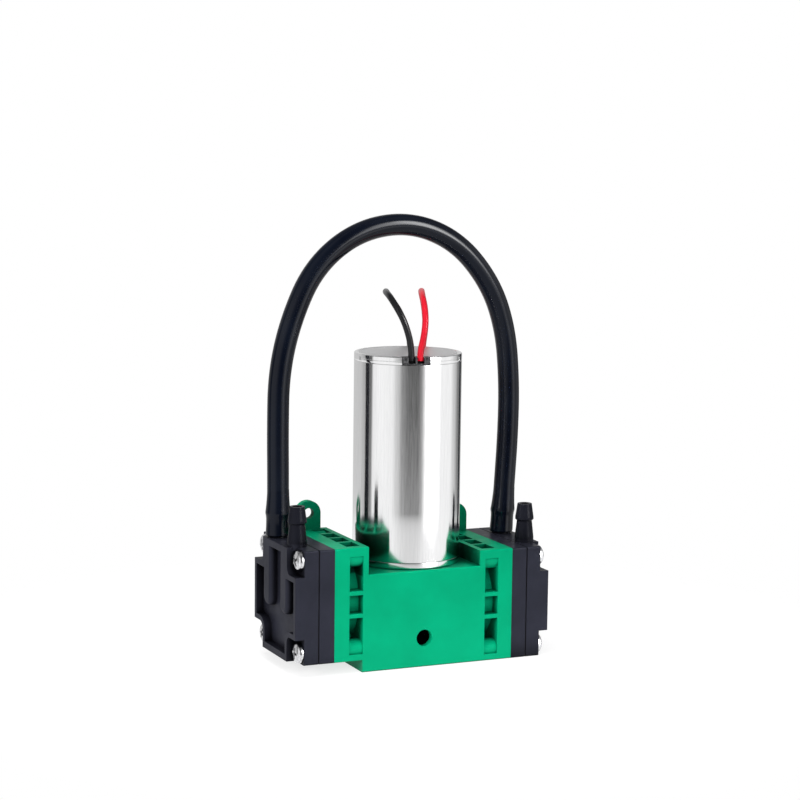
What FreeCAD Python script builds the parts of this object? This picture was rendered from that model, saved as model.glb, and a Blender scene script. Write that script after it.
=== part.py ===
import FreeCAD, Part
import Sketcher
import math
import os
from types import SimpleNamespace
from FreeCAD import Placement, Rotation, Vector

# Twin-head diaphragm vacuum pump: an upright motor on a moulded frame turns an
# eccentric, two connecting rods on its journal work a diaphragm at each end.
# Millimetres. X runs along the two heads, Y to the back, Z up. The origin is the
# middle of the frame's base. The left end (-X) stands higher than the right one.

DIMENSIONS = {
    # heads and the frame's end sections
    "head_size": 44.0,
    "left_rise": 4.7,
    "screw_inset": 4.25,
    # moulded frame
    "box_half_length": 25.8,
    "side_wall": 2.2,
    "front_wall": 2.5,
    "deck_height": 38.0,
    "deck_thickness": 3.0,
    "bay_width": 5.6,
    "flange_thickness": 6.1,
    "tube_radius": 17.5,
    "tube_wall": 2.0,
    "rib_thickness": 1.6,
    "front_rib_offset": 4.4,
    "top_rib_offset": 9.3,
    "boss_radius": 3.7,
    "end_floor": 2.6,
    "rim_depth": 3.5,
    "rim_height": 3.4,
    "key_hole_radius": 3.25,
    "window_width": 24.0,
    "window_height": 10.0,
    "ear_offset": 32.0,
    "ear_width": 10.0,
    "ear_thickness": 3.0,
    "ear_hole_radius": 2.1,
    "ear_hole_rise": 6.5,
    # base cover
    "cover_thickness": 2.6,
    "cover_ledge": 1.0,
    "cover_clearance": 0.2,
    "post_radius": 3.0,
    "post_inset": 3.2,
    "small_screw_radius": 1.25,
    "small_head_radius": 2.4,
    # motor
    "motor_offset": 1.5,
    "motor_radius": 21.0,
    "motor_height": 82.3,
    "can_wall": 1.5,
    "cap_height": 3.0,
    "bell_height": 2.6,
    "spigot_height": 3.0,
    "motor_edge": 0.5,
    "pilot_radius": 8.0,
    "pilot_height": 1.5,
    "motor_screw_circle": 25.0,
    "motor_screw_radius": 1.5,
    "motor_head_radius": 2.75,
    "motor_head_height": 2.0,
    "notch_width": 11.0,
    "notch_depth": 4.4,
    "notch_angle": 255.0,
    "shaft_radius": 2.5,
    "bearing_radius": 6.5,
    "bearing_width": 4.0,
    "core_height": 34.0,
    "core_start": 20.0,
    "core_depth": 8.0,
    "coil_overhang": 5.0,
    "air_gap": 0.5,
    "bracket_height": 4.0,
    "bracket_start": 66.0,
    "board_thickness": 1.6,
    # crank
    "throw": 1.8,
    "journal_radius": 6.0,
    "rod_bearing_radius": 9.0,
    "rod_bearing_width": 4.0,
    "ring_thickness": 1.1,
    "shoulder_height": 1.0,
    "hub_radius": 8.0,
    "hub_height": 12.5,
    "weight_radius": 13.0,
    "weight_height": 4.5,
    "set_screw_radius": 2.0,
    "set_screw_length": 4.6,
    "set_screw_rise": 4.9,
    "clip_thickness": 0.8,
    "clip_depth": 1.5,
    "spacer_depth": 1.0,
    # connecting rods
    "big_end_radius": 11.5,
    "shank_width": 10.0,
    "foot_radius": 8.0,
    "foot_thickness": 3.0,
    "shank_web": 1.6,
    # diaphragms
    "diaphragm_thickness": 1.2,
    "diaphragm_radius": 18.0,
    "diaphragm_web": 9.5,
    "seat_clearance": 0.1,
    "retainer_radius": 8.5,
    "retainer_thickness": 1.6,
    "retainer_screw_radius": 1.5,
    "retainer_screw_length": 8.0,
    # valve plate, valve sheet and cover
    "plate_thickness": 6.2,
    "chamber_depth": 3.8,
    "chamber_floor_radius": 10.5,
    "chamber_mouth_radius": 15.2,
    "port_offset": 5.5,
    "port_radius": 1.6,
    "flap_radius": 2.6,
    "sheet_thickness": 0.4,
    "sheet_inset": 0.5,
    "cap_plate_thickness": 5.7,
    "cross_height": 3.7,
    "corner_height": 10.0,
    "corner_width": 9.0,
    "cross_corner": 3.0,
    "cross_rim": 1.2,
    "face_rim": 2.0,
    "face_rim_end": 2.6,
    "recess_depth": 3.0,
    "pillar_width": 8.1,
    "pillar_drop": 4.5,
    "pillar_round": 1.8,
    "cavity_depth": 3.6,
    "head_edge": 0.6,
    # barbs
    "barb_offset": 10.3,
    "barb_reach": 10.9,
    "barb_length": 15.3,
    "barb_tip_radius": 2.85,
    "barb_lip_radius": 3.65,
    "barb_lip_drop": 5.4,
    "barb_lip_land": 0.8,
    "barb_neck_radius": 3.0,
    "barb_root_radius": 3.75,
    "barb_bore_radius": 1.9,
    # head screws
    "screw_radius": 2.0,
    "screw_head_radius": 4.0,
    "screw_head_height": 2.4,
    "screw_engagement": 10.0,
    "screw_clearance": 0.15,
    "thread_clearance": 0.05,
    # hose and leads
    "hose_radius": 4.25,
    "hose_bore_radius": 2.5,
    "hose_swell": 0.5,
    "hose_seat_gap": 0.7,
    "lead_radius": 1.25,
    "lead_spacing": 3.4,
    "coil_radius": 14.0,
    "coil_band": 2.8,
}


class Size:
    """A length with its number and the sheet expression that gives it."""

    def __init__(self, text, value):
        self.text = text
        self.value = value

    def combined(self, other, sign, value, swap=False):
        first, second = (other, self) if swap else (self, other)
        return Size("(" + text_of(first) + sign + text_of(second) + ")", value)

    def __add__(self, other):
        return self.combined(other, " + ", self.value + number(other))

    def __radd__(self, other):
        return self.combined(other, " + ", number(other) + self.value, True)

    def __sub__(self, other):
        return self.combined(other, " - ", self.value - number(other))

    def __rsub__(self, other):
        return self.combined(other, " - ", number(other) - self.value, True)

    def __mul__(self, other):
        return self.combined(other, " * ", self.value * number(other))

    def __rmul__(self, other):
        return self.combined(other, " * ", number(other) * self.value, True)

    def __truediv__(self, other):
        return self.combined(other, " / ", self.value / number(other))

    def __neg__(self):
        return Size("(-1 * " + self.text + ")", -self.value)


def number(item):
    return item.value if isinstance(item, Size) else float(item)


def text_of(item):
    return item.text if isinstance(item, Size) else repr(float(item))


def bind(thing, path, item):
    """Hold one property to the sheet, or set it where the item is a bare number."""
    thing.setExpression(path, text_of(item))


doc = FreeCAD.newDocument("DiaphragmPump")
sheet = doc.addObject("Spreadsheet::Sheet", "Sizes")
for row, (alias, amount) in enumerate(DIMENSIONS.items(), start=1):
    sheet.set("A%d" % row, alias)
    sheet.set("B%d" % row, str(amount))
    sheet.setAlias("B%d" % row, alias)
doc.recompute()
S = SimpleNamespace(**{name: Size("Sizes." + name, value) for name, value in DIMENSIONS.items()})

NODES = []
TURN_TO_X = Rotation(Vector(0, 1, 0), 90)
TURN_TO_Y = Rotation(Vector(1, 0, 0), -90)
NO_TURN = Rotation()

# heights and places that several pieces share
HALF = S.head_size / 2
SCREW_OFFSET = HALF - S.screw_inset
ARM_HALF_HEIGHT = HALF - S.corner_height
ARM_HALF_WIDTH = HALF - S.corner_width
PILLAR_INNER = ARM_HALF_WIDTH - S.pillar_width
AXIS_HEIGHT = {1: HALF, -1: HALF + S.left_rise}
FLANGE = S.box_half_length + S.bay_width + S.flange_thickness
INNER_HALF = S.box_half_length - S.side_wall
BORE_RADIUS = S.tube_radius - S.tube_wall
MOTOR_TOP = S.deck_height + S.motor_height
BELL_TOP = S.deck_height + S.bell_height
CAP_START = MOTOR_TOP - S.cap_height
CAN_BORE = S.motor_radius - S.can_wall
CORE_BORE = CAN_BORE - S.core_depth
PIN_X = S.motor_offset + S.throw
HUB_TOP = AXIS_HEIGHT[1] - S.rod_bearing_width / 2 - S.shoulder_height
HUB_BOTTOM = HUB_TOP - S.hub_height
KEY_HEIGHT = HUB_BOTTOM + S.set_screw_rise
UPPER_BEARING_TOP = AXIS_HEIGHT[-1] + S.rod_bearing_width / 2
SHEET_START = S.plate_thickness
COVER_START = SHEET_START + S.sheet_thickness
COVER_FACE = COVER_START + S.cap_plate_thickness
CROSS_FACE = COVER_FACE + S.cross_height
SIDE_NAME = {1: "right", -1: "left"}


def place(thing, x, y, z, turn=NO_TURN):
    """Turn a piece and hold its position to the sheet."""
    thing.Placement = Placement(Vector(number(x), number(y), number(z)), turn)
    bind(thing, "Placement.Base.x", x)
    bind(thing, "Placement.Base.y", y)
    bind(thing, "Placement.Base.z", z)
    return thing


def node(thing, label):
    """Name a finished sub-part; its label names its file."""
    thing.Label = label
    NODES.append(thing)
    return thing


def block(name, low, high):
    box = doc.addObject("Part::Box", name)
    bind(box, "Length", high[0] - low[0])
    bind(box, "Width", high[1] - low[1])
    bind(box, "Height", high[2] - low[2])
    return place(box, *low)


def cylinder(name, axis, centre, radius, start, stop):
    """A cylinder along X, Y or Z; centre holds its other two coordinates."""
    rod = doc.addObject("Part::Cylinder", name)
    bind(rod, "Radius", radius)
    bind(rod, "Height", stop - start)
    if axis == "X":
        return place(rod, start, centre[0], centre[1], TURN_TO_X)
    if axis == "Y":
        return place(rod, centre[0], start, centre[1], TURN_TO_Y)
    return place(rod, centre[0], centre[1], start)


def fuse(name, items):
    joined = doc.addObject("Part::MultiFuse", name)
    joined.Shapes = items
    return joined


def cut(name, base, tool):
    rest = doc.addObject("Part::Cut", name)
    rest.Base = base
    rest.Tool = tool
    return rest


def group(name, items):
    """Identical loose pieces that share one node."""
    together = doc.addObject("Part::Compound", name)
    together.Links = items
    return together


def rounded_bar(name, low, high, radius):
    """A block whose four long edges, along X, are rounded."""
    body = new_body(name)
    face = sketch_on(body, name + "_face", "YZ_Plane", low[0])
    rectangle(face, low[1], high[1], low[2], high[2])
    pad(body, face, high[0] - low[0])
    round_edges(body, name + "_edges", along_x, radius)
    return body


def edge_names(shape, wanted):
    return ["Edge%d" % (i + 1) for i, edge in enumerate(shape.Edges) if wanted(edge)]


def new_body(name):
    return doc.addObject("PartDesign::Body", name)


def sketch_on(body, name, role, offset=0.0, shift=(0.0, 0.0)):
    """A sketch on one of the body's own planes, moved along the plane's normal."""
    plane = [f for f in body.Origin.OriginFeatures if f.Role == role][0]
    sketch = body.newObject("Sketcher::SketchObject", name)
    sketch.AttachmentSupport = [(plane, "")]
    sketch.MapMode = "FlatFace"
    bind(sketch, "AttachmentOffset.Base.x", shift[0])
    bind(sketch, "AttachmentOffset.Base.y", shift[1])
    bind(sketch, "AttachmentOffset.Base.z", offset)
    return sketch


def pin_point(sketch, element, which, x, y):
    """Hold one sketch point to its two coordinates."""
    for kind, item in (("DistanceX", x), ("DistanceY", y)):
        if abs(number(item)) < 1e-9:
            axis = -2 if kind == "DistanceX" else -1
            sketch.addConstraint(Sketcher.Constraint("PointOnObject", element, which, axis))
            continue
        index = sketch.addConstraint(Sketcher.Constraint(kind, -1, 1, element, which, number(item)))
        if isinstance(item, Size):
            sketch.setExpression("Constraints[%d]" % index, item.text)


def outline(sketch, points):
    """A closed outline of straight lines through the given points."""
    corners = [Vector(number(x), number(y), 0) for x, y in points]
    first = sketch.GeometryCount
    for here, there in zip(corners, corners[1:] + corners[:1]):
        sketch.addGeometry(Part.LineSegment(here, there), False)
    count = len(corners)
    for i in range(count):
        following = first + (i + 1) % count
        sketch.addConstraint(Sketcher.Constraint("Coincident", first + i, 2, following, 1))
        pin_point(sketch, first + i, 1, *points[i])


def rectangle(sketch, x0, x1, y0, y1):
    outline(sketch, [(x0, y0), (x1, y0), (x1, y1), (x0, y1)])


def circle(sketch, x, y, radius):
    shape = Part.Circle(Vector(number(x), number(y), 0), Vector(0, 0, 1), number(radius))
    element = sketch.addGeometry(shape, False)
    pin_point(sketch, element, 3, x, y)
    index = sketch.addConstraint(Sketcher.Constraint("Radius", element, number(radius)))
    if isinstance(radius, Size):
        sketch.setExpression("Constraints[%d]" % index, radius.text)


def pad(body, sketch, length, backwards=False):
    feature = body.newObject("PartDesign::Pad", sketch.Name + "_pad")
    feature.Profile = sketch
    bind(feature, "Length", length)
    feature.Reversed = backwards
    sketch.Visibility = False
    return feature


def pocket(body, sketch, length, backwards=False):
    """Cut a sketch into the body and make sure that it takes material away."""
    doc.recompute()
    before = body.Shape.Volume
    feature = body.newObject("PartDesign::Pocket", sketch.Name + "_pocket")
    feature.Profile = sketch
    bind(feature, "Length", length)
    feature.Reversed = backwards
    doc.recompute()
    if not body.Shape.Volume < before:
        raise ValueError(sketch.Name + " cuts nothing")
    return feature


def revolve(body, sketch, axis="V_Axis"):
    feature = body.newObject("PartDesign::Revolution", sketch.Name + "_turn")
    feature.Profile = sketch
    feature.ReferenceAxis = (sketch, [axis])
    feature.Angle = 360
    return feature


def groove(body, sketch, axis="V_Axis"):
    doc.recompute()
    before = body.Shape.Volume
    feature = body.newObject("PartDesign::Groove", sketch.Name + "_groove")
    feature.Profile = sketch
    feature.ReferenceAxis = (sketch, [axis])
    feature.Angle = 360
    doc.recompute()
    if not body.Shape.Volume < before:
        raise ValueError(sketch.Name + " cuts nothing")
    return feature


def round_edges(body, name, wanted, radius, kind="Fillet"):
    """Fillet or chamfer the edges of the body's last feature that pass the test."""
    doc.recompute()
    base = body.Tip
    names = edge_names(base.Shape, wanted)
    feature = body.newObject("PartDesign::" + kind, name)
    feature.Base = (base, names)
    bind(feature, "Radius" if kind == "Fillet" else "Size", radius)
    return feature


def turned(name, profile):
    """A body turned about its own Z from (radius, height) points."""
    body = new_body(name)
    sketch = sketch_on(body, name + "_profile", "XZ_Plane")
    outline(sketch, profile)
    revolve(body, sketch)
    return body


def ring(name, inner, outer, start, stop):
    return turned(name, [(inner, start), (outer, start), (outer, stop), (inner, stop)])


def corners(offset):
    return [(offset * a, offset * b) for a in (-1, 1) for b in (-1, 1)]


def along_x(edge):
    return abs(edge.tangentAt(edge.FirstParameter).x) > 0.999 and edge.Curve.TypeId == "Part::GeomLine"


# Moulded frame


def side_span(side, near, far):
    return (near, far) if side > 0 else (-far, -near)


def bay_hollow(side):
    """The pockets of one end: the bay less its tube, ribs, bosses, floor and rims."""
    tag = SIDE_NAME[side]
    axis = AXIS_HEIGHT[side]
    low, high = side_span(side, S.box_half_length, S.box_half_length + S.bay_width)
    whole = block("bay_" + tag, (low, -HALF, axis - HALF), (high, HALF, axis + HALF))
    keep = [cylinder("bay_tube_" + tag, "X", (0.0, axis), S.tube_radius, low, high)]
    half_rib = S.rib_thickness / 2
    for i, offset in enumerate((-S.front_rib_offset, S.front_rib_offset)):
        keep.append(block("front_rib_%s_%d" % (tag, i), (low, -HALF, axis + offset - half_rib),
                          (high, HALF, axis + offset + half_rib)))
    for i, offset in enumerate((-S.top_rib_offset, 0.0 * S.top_rib_offset, S.top_rib_offset)):
        keep.append(block("top_rib_%s_%d" % (tag, i), (low, offset - half_rib, axis - HALF),
                          (high, offset + half_rib, axis + HALF)))
    for i, (y, z) in enumerate(corners(SCREW_OFFSET)):
        keep.append(cylinder("bay_boss_%s_%d" % (tag, i), "X", (y, axis + z), S.boss_radius, low, high))
    floor = axis - HALF
    keep.append(block("bay_floor_" + tag, (low, -HALF, floor), (high, HALF, floor + S.end_floor)))
    for i, (near, far) in enumerate(((-HALF, -HALF + S.rim_depth), (HALF - S.rim_depth, HALF))):
        keep.append(block("bay_rim_%s_%d" % (tag, i), (low, near, axis + HALF - S.rim_height),
                          (high, far, axis + HALF)))
    return cut("bay_hollow_" + tag, whole, fuse("bay_keep_" + tag, keep))


def ear(side):
    """A mounting tab with a round top at the back of one end."""
    tag = SIDE_NAME[side]
    centre = S.ear_offset * side
    top = AXIS_HEIGHT[side] + HALF
    hole_height = top + S.ear_hole_rise
    half_width = S.ear_width / 2
    root = top - S.rim_height
    plate = block("ear_plate_" + tag, (centre - half_width, HALF - S.ear_thickness, root),
                  (centre + half_width, HALF, hole_height))
    crown = cylinder("ear_crown_" + tag, "Y", (centre, hole_height), half_width,
                     HALF - S.ear_thickness, HALF)
    return [plate, crown]


def ear_hole(side):
    hole_height = AXIS_HEIGHT[side] + HALF + S.ear_hole_rise
    return cylinder("ear_hole_" + SIDE_NAME[side], "Y", (S.ear_offset * side, hole_height),
                    S.ear_hole_radius, HALF - 2 * S.ear_thickness, HALF + S.ear_thickness)


def end_section(side):
    """The outer block of one end, from the inner wall to the flange face."""
    tag = SIDE_NAME[side]
    axis = AXIS_HEIGHT[side]
    low, high = side_span(side, INNER_HALF, FLANGE)
    return rounded_bar("end_" + tag, (low, -HALF, axis - HALF), (high, HALF, axis + HALF), S.head_edge)


def end_cuts(side):
    """Crank bore, rod window, diaphragm seat and screw holes of one end."""
    tag = SIDE_NAME[side]
    axis = AXIS_HEIGHT[side]
    low, high = side_span(side, S.box_half_length, FLANGE + S.seat_clearance)
    cuts = [cylinder("rod_bore_" + tag, "X", (0.0, axis), BORE_RADIUS, low, high)]
    low, high = side_span(side, INNER_HALF - S.side_wall, S.box_half_length + S.side_wall)
    cuts.append(block("rod_window_" + tag, (low, -S.window_width / 2, axis - S.window_height / 2),
                      (high, S.window_width / 2, axis + S.window_height / 2)))
    low, high = side_span(side, FLANGE - S.diaphragm_thickness, FLANGE + S.seat_clearance)
    cuts.append(cylinder("seat_" + tag, "X", (0.0, axis), S.diaphragm_radius + S.seat_clearance, low, high))
    low, high = side_span(side, FLANGE - S.screw_engagement, FLANGE + S.seat_clearance)
    for i, (y, z) in enumerate(corners(SCREW_OFFSET)):
        cuts.append(cylinder("pilot_%s_%d" % (tag, i), "X", (y, axis + z),
                             S.screw_radius + S.thread_clearance, low, high))
    return cuts


def post_places():
    reach_x = INNER_HALF - S.post_inset
    reach_y = HALF - S.front_wall - S.post_inset
    return [(reach_x * a, reach_y * b) for a in (-1, 1) for b in (-1, 1)]


def motor_screw_places():
    reach = S.motor_screw_circle / 2 * round(math.sqrt(0.5), 6)
    return [(S.motor_offset + reach * a, reach * b) for a in (-1, 1) for b in (-1, 1)]


def make_frame():
    depth = HALF - S.front_wall
    core = rounded_bar("core", (-S.box_half_length, -HALF, 0.0 * HALF),
                       (S.box_half_length, HALF, S.deck_height), S.head_edge)
    solids = [core]
    for side in (1, -1):
        solids.append(end_section(side))
        solids.extend(ear(side))
    chamber = block("crank_chamber", (-INNER_HALF, -depth, -S.front_wall),
                    (INNER_HALF, depth, S.deck_height - S.deck_thickness))
    ledge = block("cover_seat", (-INNER_HALF - S.cover_ledge, -depth - S.cover_ledge, -S.front_wall),
                  (INNER_HALF + S.cover_ledge, depth + S.cover_ledge, S.cover_thickness))
    posts = [cylinder("post_%d" % i, "Z", spot, S.post_radius, S.cover_thickness, S.deck_height)
             for i, spot in enumerate(post_places())]
    hollow = cut("chamber_less_posts", chamber, fuse("posts", posts))
    cuts = [hollow, ledge]
    for side in (1, -1):
        cuts.append(bay_hollow(side))
        cuts.extend(end_cuts(side))
        cuts.append(ear_hole(side))
    cuts.append(cylinder("key_hole", "Y", (0.0 * HALF, KEY_HEIGHT), S.key_hole_radius,
                         -HALF - S.front_wall, -depth + S.front_wall))
    cuts.append(cylinder("pilot_bore", "Z", (S.motor_offset, 0.0), S.pilot_radius + S.seat_clearance,
                         S.deck_height - 2 * S.deck_thickness, S.deck_height + S.deck_thickness))
    for i, spot in enumerate(motor_screw_places()):
        cuts.append(cylinder("motor_screw_hole_%d" % i, "Z", spot,
                             S.motor_screw_radius + S.screw_clearance,
                             S.deck_height - 2 * S.deck_thickness, S.deck_height + S.deck_thickness))
    for i, spot in enumerate(post_places()):
        cuts.append(cylinder("post_hole_%d" % i, "Z", spot, S.small_screw_radius + S.thread_clearance,
                             0.0 * HALF, S.cover_thickness * 4))
    node(cut("frame", fuse("frame_solids", solids), fuse("frame_cuts", cuts)), "frame")


def make_base_cover():
    reach_x = INNER_HALF + S.cover_ledge - S.cover_clearance
    reach_y = HALF - S.front_wall + S.cover_ledge - S.cover_clearance
    plate = block("base_plate", (-reach_x, -reach_y, 0.0 * HALF), (reach_x, reach_y, S.cover_thickness))
    holes = []
    for i, (x, y) in enumerate(post_places()):
        holes.append(cylinder("base_hole_%d" % i, "Z", (x, y), S.small_screw_radius + S.screw_clearance,
                              -S.cover_thickness, S.cover_thickness * 2))
        holes.append(cylinder("base_sink_%d" % i, "Z", (x, y), S.small_head_radius + S.screw_clearance,
                              -S.cover_thickness, S.cover_thickness / 2))
    node(cut("base_cover", plate, fuse("base_holes", holes)), "base_cover")


def headed_screw(name, radius, length, head_radius, head_height):
    """A plain screw along +Z: its head lies below zero, its shank above."""
    return turned(name, [(0.0, -head_height), (head_radius * 0.8, -head_height),
                         (head_radius, -head_height * 0.6), (head_radius, 0.0),
                         (radius, 0.0), (radius, length), (0.0, length)])


def make_base_screws():
    screws = []
    for i, (x, y) in enumerate(post_places()):
        screw = headed_screw("base_screw_%d" % i, S.small_screw_radius, S.cover_thickness * 2,
                             S.small_head_radius, S.cover_thickness / 2)
        screws.append(place(screw, x, y, S.cover_thickness / 2))
    node(group("base_screws", screws), "base_screws")


# Motor


def make_motor_bell():
    """Lower end bell with its pilot, spigot and bearing seat."""
    bell_foot = S.deck_height
    seat_top = BELL_TOP + S.spigot_height
    body = turned("motor_bell", [
        (S.shaft_radius * 1.4, bell_foot - S.pilot_height),
        (S.pilot_radius, bell_foot - S.pilot_height),
        (S.pilot_radius, bell_foot),
        (S.motor_radius - S.motor_edge, bell_foot),
        (S.motor_radius, bell_foot + S.motor_edge),
        (S.motor_radius, BELL_TOP),
        (CAN_BORE, BELL_TOP),
        (CAN_BORE, seat_top),
        (S.bearing_radius, seat_top),
        (S.bearing_radius, seat_top - S.bearing_width),
        (S.shaft_radius * 1.4, seat_top - S.bearing_width)])
    sketch = sketch_on(body, "bell_holes", "XY_Plane", bell_foot)
    for x, y in motor_screw_places():
        circle(sketch, x - S.motor_offset, y, S.motor_screw_radius + S.thread_clearance)
    pocket(body, sketch, S.bell_height + S.spigot_height - S.can_wall, True)
    node(place(body, S.motor_offset, 0.0, 0.0), "motor_bell")


def make_motor_can():
    body = ring("can_tube", CAN_BORE, S.motor_radius, BELL_TOP, CAP_START)
    node(place(body, S.motor_offset, 0.0, 0.0), "motor_can")


def make_motor_cap():
    """Top cap ring and plate, with the notch for the leads cut into its rim."""
    body = turned("cap_body", [
        (0.0, CAP_START), (CAN_BORE - S.can_wall, CAP_START),
        (CAN_BORE - S.can_wall, CAP_START - S.can_wall), (CAN_BORE, CAP_START - S.can_wall),
        (CAN_BORE, CAP_START), (S.motor_radius, CAP_START),
        (S.motor_radius, MOTOR_TOP - S.motor_edge), (S.motor_radius - S.motor_edge, MOTOR_TOP),
        (0.0, MOTOR_TOP)])
    place(body, S.motor_offset, 0.0, 0.0)
    node(cut("motor_cap_cut", body, notch_block("cap_notch", 0.0)), "motor_cap")


def notch_block(name, clearance):
    """The space of the lead notch: a block on the cap's rim, turned to the front."""
    tool = doc.addObject("Part::Box", name)
    bind(tool, "Length", S.notch_depth * 2 - clearance)
    bind(tool, "Width", S.notch_width - 2 * clearance)
    bind(tool, "Height", S.cap_height * 2)
    angle = math.radians(number(S.notch_angle))
    start = S.motor_radius - S.notch_depth + clearance
    side_step = S.notch_width / 2 - clearance
    x = S.motor_offset + start * math.cos(angle) + side_step * math.sin(angle)
    y = start * math.sin(angle) - side_step * math.cos(angle)
    return place(tool, x, y, CAP_START - S.seat_clearance, Rotation(Vector(0, 0, 1), math.degrees(angle)))


def make_motor_grommet():
    """Rubber block in the notch, with a hole for each lead."""
    angle = math.radians(number(S.notch_angle))
    plug = notch_block("grommet_block", 0.2)
    rim = cylinder("grommet_rim", "Z", (S.motor_offset, 0.0), S.motor_radius - S.motor_edge,
                   CAP_START, MOTOR_TOP - S.motor_edge)
    shaped = doc.addObject("Part::MultiCommon", "grommet_shape")
    shaped.Shapes = [plug, rim]
    holes = [cylinder("grommet_hole_%d" % i, "Z", lead_exit(side), S.lead_radius + S.thread_clearance,
                      CAP_START - S.cap_height, MOTOR_TOP + S.cap_height)
             for i, side in enumerate((-1, 1))]
    node(cut("grommet_cut", shaped, fuse("grommet_holes", holes)), "lead_grommet")


def lead_exit(side):
    """Plan position of one lead in the grommet; side -1 is the left one."""
    angle = math.radians(number(S.notch_angle))
    reach = S.motor_radius - S.notch_depth / 2
    step = S.lead_spacing / 2 * side
    return (S.motor_offset + reach * math.cos(angle) - step * math.sin(angle),
            reach * math.sin(angle) + step * math.cos(angle))


def make_motor_inside():
    """Stator core, its windings, the bearing bracket and the driver board."""
    start = S.deck_height + S.core_start
    stop = start + S.core_height
    core = ring("stator_core", CORE_BORE, CAN_BORE, start, stop)
    node(place(core, S.motor_offset, 0.0, 0.0), "stator_core")
    inner = CORE_BORE + S.can_wall
    outer = CAN_BORE - S.can_wall
    middle = (inner + outer) / 2
    coils = []
    for tag, face, way in (("low", start, -1), ("high", stop, 1)):
        coils.append(turned("coil_" + tag, [
            (inner, face), (outer, face), (outer, face + S.coil_overhang * 0.6 * way),
            (middle, face + S.coil_overhang * way), (inner, face + S.coil_overhang * 0.6 * way)]))
        place(coils[-1], S.motor_offset, 0.0, 0.0)
    node(group("stator_coils", coils), "stator_coils")
    floor = S.deck_height + S.bracket_start
    roof = floor + S.bracket_height
    bracket = turned("bearing_bracket", [
        (S.bearing_radius, floor), (CAN_BORE, floor), (CAN_BORE, roof + S.can_wall * 2),
        (CAN_BORE - S.can_wall, roof + S.can_wall * 2), (CAN_BORE - S.can_wall, roof),
        (S.bearing_radius, roof)])
    node(place(bracket, S.motor_offset, 0.0, 0.0), "bearing_bracket")
    board_floor = roof + S.can_wall * 2
    board = ring("driver_board", S.bearing_radius, CAN_BORE - S.seat_clearance, board_floor,
                 board_floor + S.board_thickness)
    node(place(board, S.motor_offset, 0.0, 0.0), "driver_board")
    low_seat = BELL_TOP + S.spigot_height - S.bearing_width
    inside = S.shaft_radius + S.thread_clearance
    for name, height in (("motor_bearing_low", low_seat), ("motor_bearing_top", floor)):
        bearing = ring(name, inside, S.bearing_radius, height, height + S.bearing_width)
        node(place(bearing, S.motor_offset, 0.0, 0.0), name)


def make_motor_screws():
    screws = []
    reach = S.deck_thickness + S.bell_height
    for i, (x, y) in enumerate(motor_screw_places()):
        screw = headed_screw("motor_screw_%d" % i, S.motor_screw_radius, reach,
                             S.motor_head_radius, S.motor_head_height)
        screws.append(place(screw, x, y, S.deck_height - S.deck_thickness))
    node(group("motor_screws", screws), "motor_screws")


# Crank


def make_rotor():
    top = S.deck_height + S.bracket_start + S.bracket_height
    shaft = ring("shaft_rod", 0.0, S.shaft_radius, HUB_BOTTOM, top)
    node(place(shaft, S.motor_offset, 0.0, 0.0), "motor_shaft")
    start = S.deck_height + S.core_start
    magnet = ring("magnet_ring", S.shaft_radius, CORE_BORE - S.air_gap, start - S.can_wall,
                  start + S.core_height + S.can_wall)
    node(place(magnet, S.motor_offset, 0.0, 0.0), "rotor_magnet")


def make_eccentric():
    """Hub with set-screw hole, counterweight opposite the throw, and the journal."""
    body = new_body("eccentric_body")
    base = sketch_on(body, "hub_circle", "XY_Plane", HUB_BOTTOM)
    circle(base, 0.0, 0.0, S.hub_radius)
    pad(body, base, S.hub_height)
    weight = sketch_on(body, "weight_circle", "XY_Plane", HUB_TOP - S.weight_height)
    circle(weight, 0.0, 0.0, S.weight_radius)
    pad(body, weight, S.weight_height)
    side = sketch_on(body, "weight_relief", "XY_Plane", HUB_TOP)
    rectangle(side, S.hub_radius, S.weight_radius * 1.1, -S.weight_radius * 1.1, S.weight_radius * 1.1)
    pocket(body, side, S.weight_height)
    for tag, low in (("front", -S.weight_radius * 1.1), ("back", S.hub_radius)):
        high = low + S.weight_radius * 1.1 - S.hub_radius
        relief = sketch_on(body, "weight_relief_" + tag, "XY_Plane", HUB_TOP)
        rectangle(relief, 0.0, S.hub_radius, low, high)
        pocket(body, relief, S.weight_height)
    shoulder = sketch_on(body, "shoulder_circle", "XY_Plane", HUB_TOP)
    circle(shoulder, S.throw, 0.0, S.journal_radius + S.spacer_depth)
    pad(body, shoulder, S.shoulder_height)
    journal = sketch_on(body, "journal_circle", "XY_Plane", HUB_TOP + S.shoulder_height)
    circle(journal, S.throw, 0.0, S.journal_radius)
    journal_height = UPPER_BEARING_TOP + S.clip_thickness * 1.5 - HUB_TOP - S.shoulder_height
    pad(body, journal, journal_height)
    bore = sketch_on(body, "shaft_bore", "XY_Plane", HUB_BOTTOM)
    circle(bore, 0.0, 0.0, S.shaft_radius)
    pocket(body, bore, S.hub_height * 3, True)
    hole = sketch_on(body, "set_screw_hole", "XZ_Plane")
    circle(hole, 0.0, KEY_HEIGHT, S.set_screw_radius + S.thread_clearance)
    pocket(body, hole, S.weight_radius, True)
    node(place(body, S.motor_offset, 0.0, 0.0), "eccentric")


def make_set_screw():
    body = turned("set_screw_body", [
        (0.0, 0.0), (S.set_screw_radius * 0.5, 0.0), (S.set_screw_radius, S.set_screw_radius * 0.5),
        (S.set_screw_radius, S.set_screw_length), (0.0, S.set_screw_length)])
    sketch = sketch_on(body, "socket", "XY_Plane", S.set_screw_length)
    circle(sketch, 0.0, 0.0, S.set_screw_radius * 0.5)
    pocket(body, sketch, S.set_screw_length / 2)
    node(place(body, S.motor_offset, -S.shaft_radius, KEY_HEIGHT, Rotation(Vector(1, 0, 0), 90)),
         "set_screw")


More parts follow.
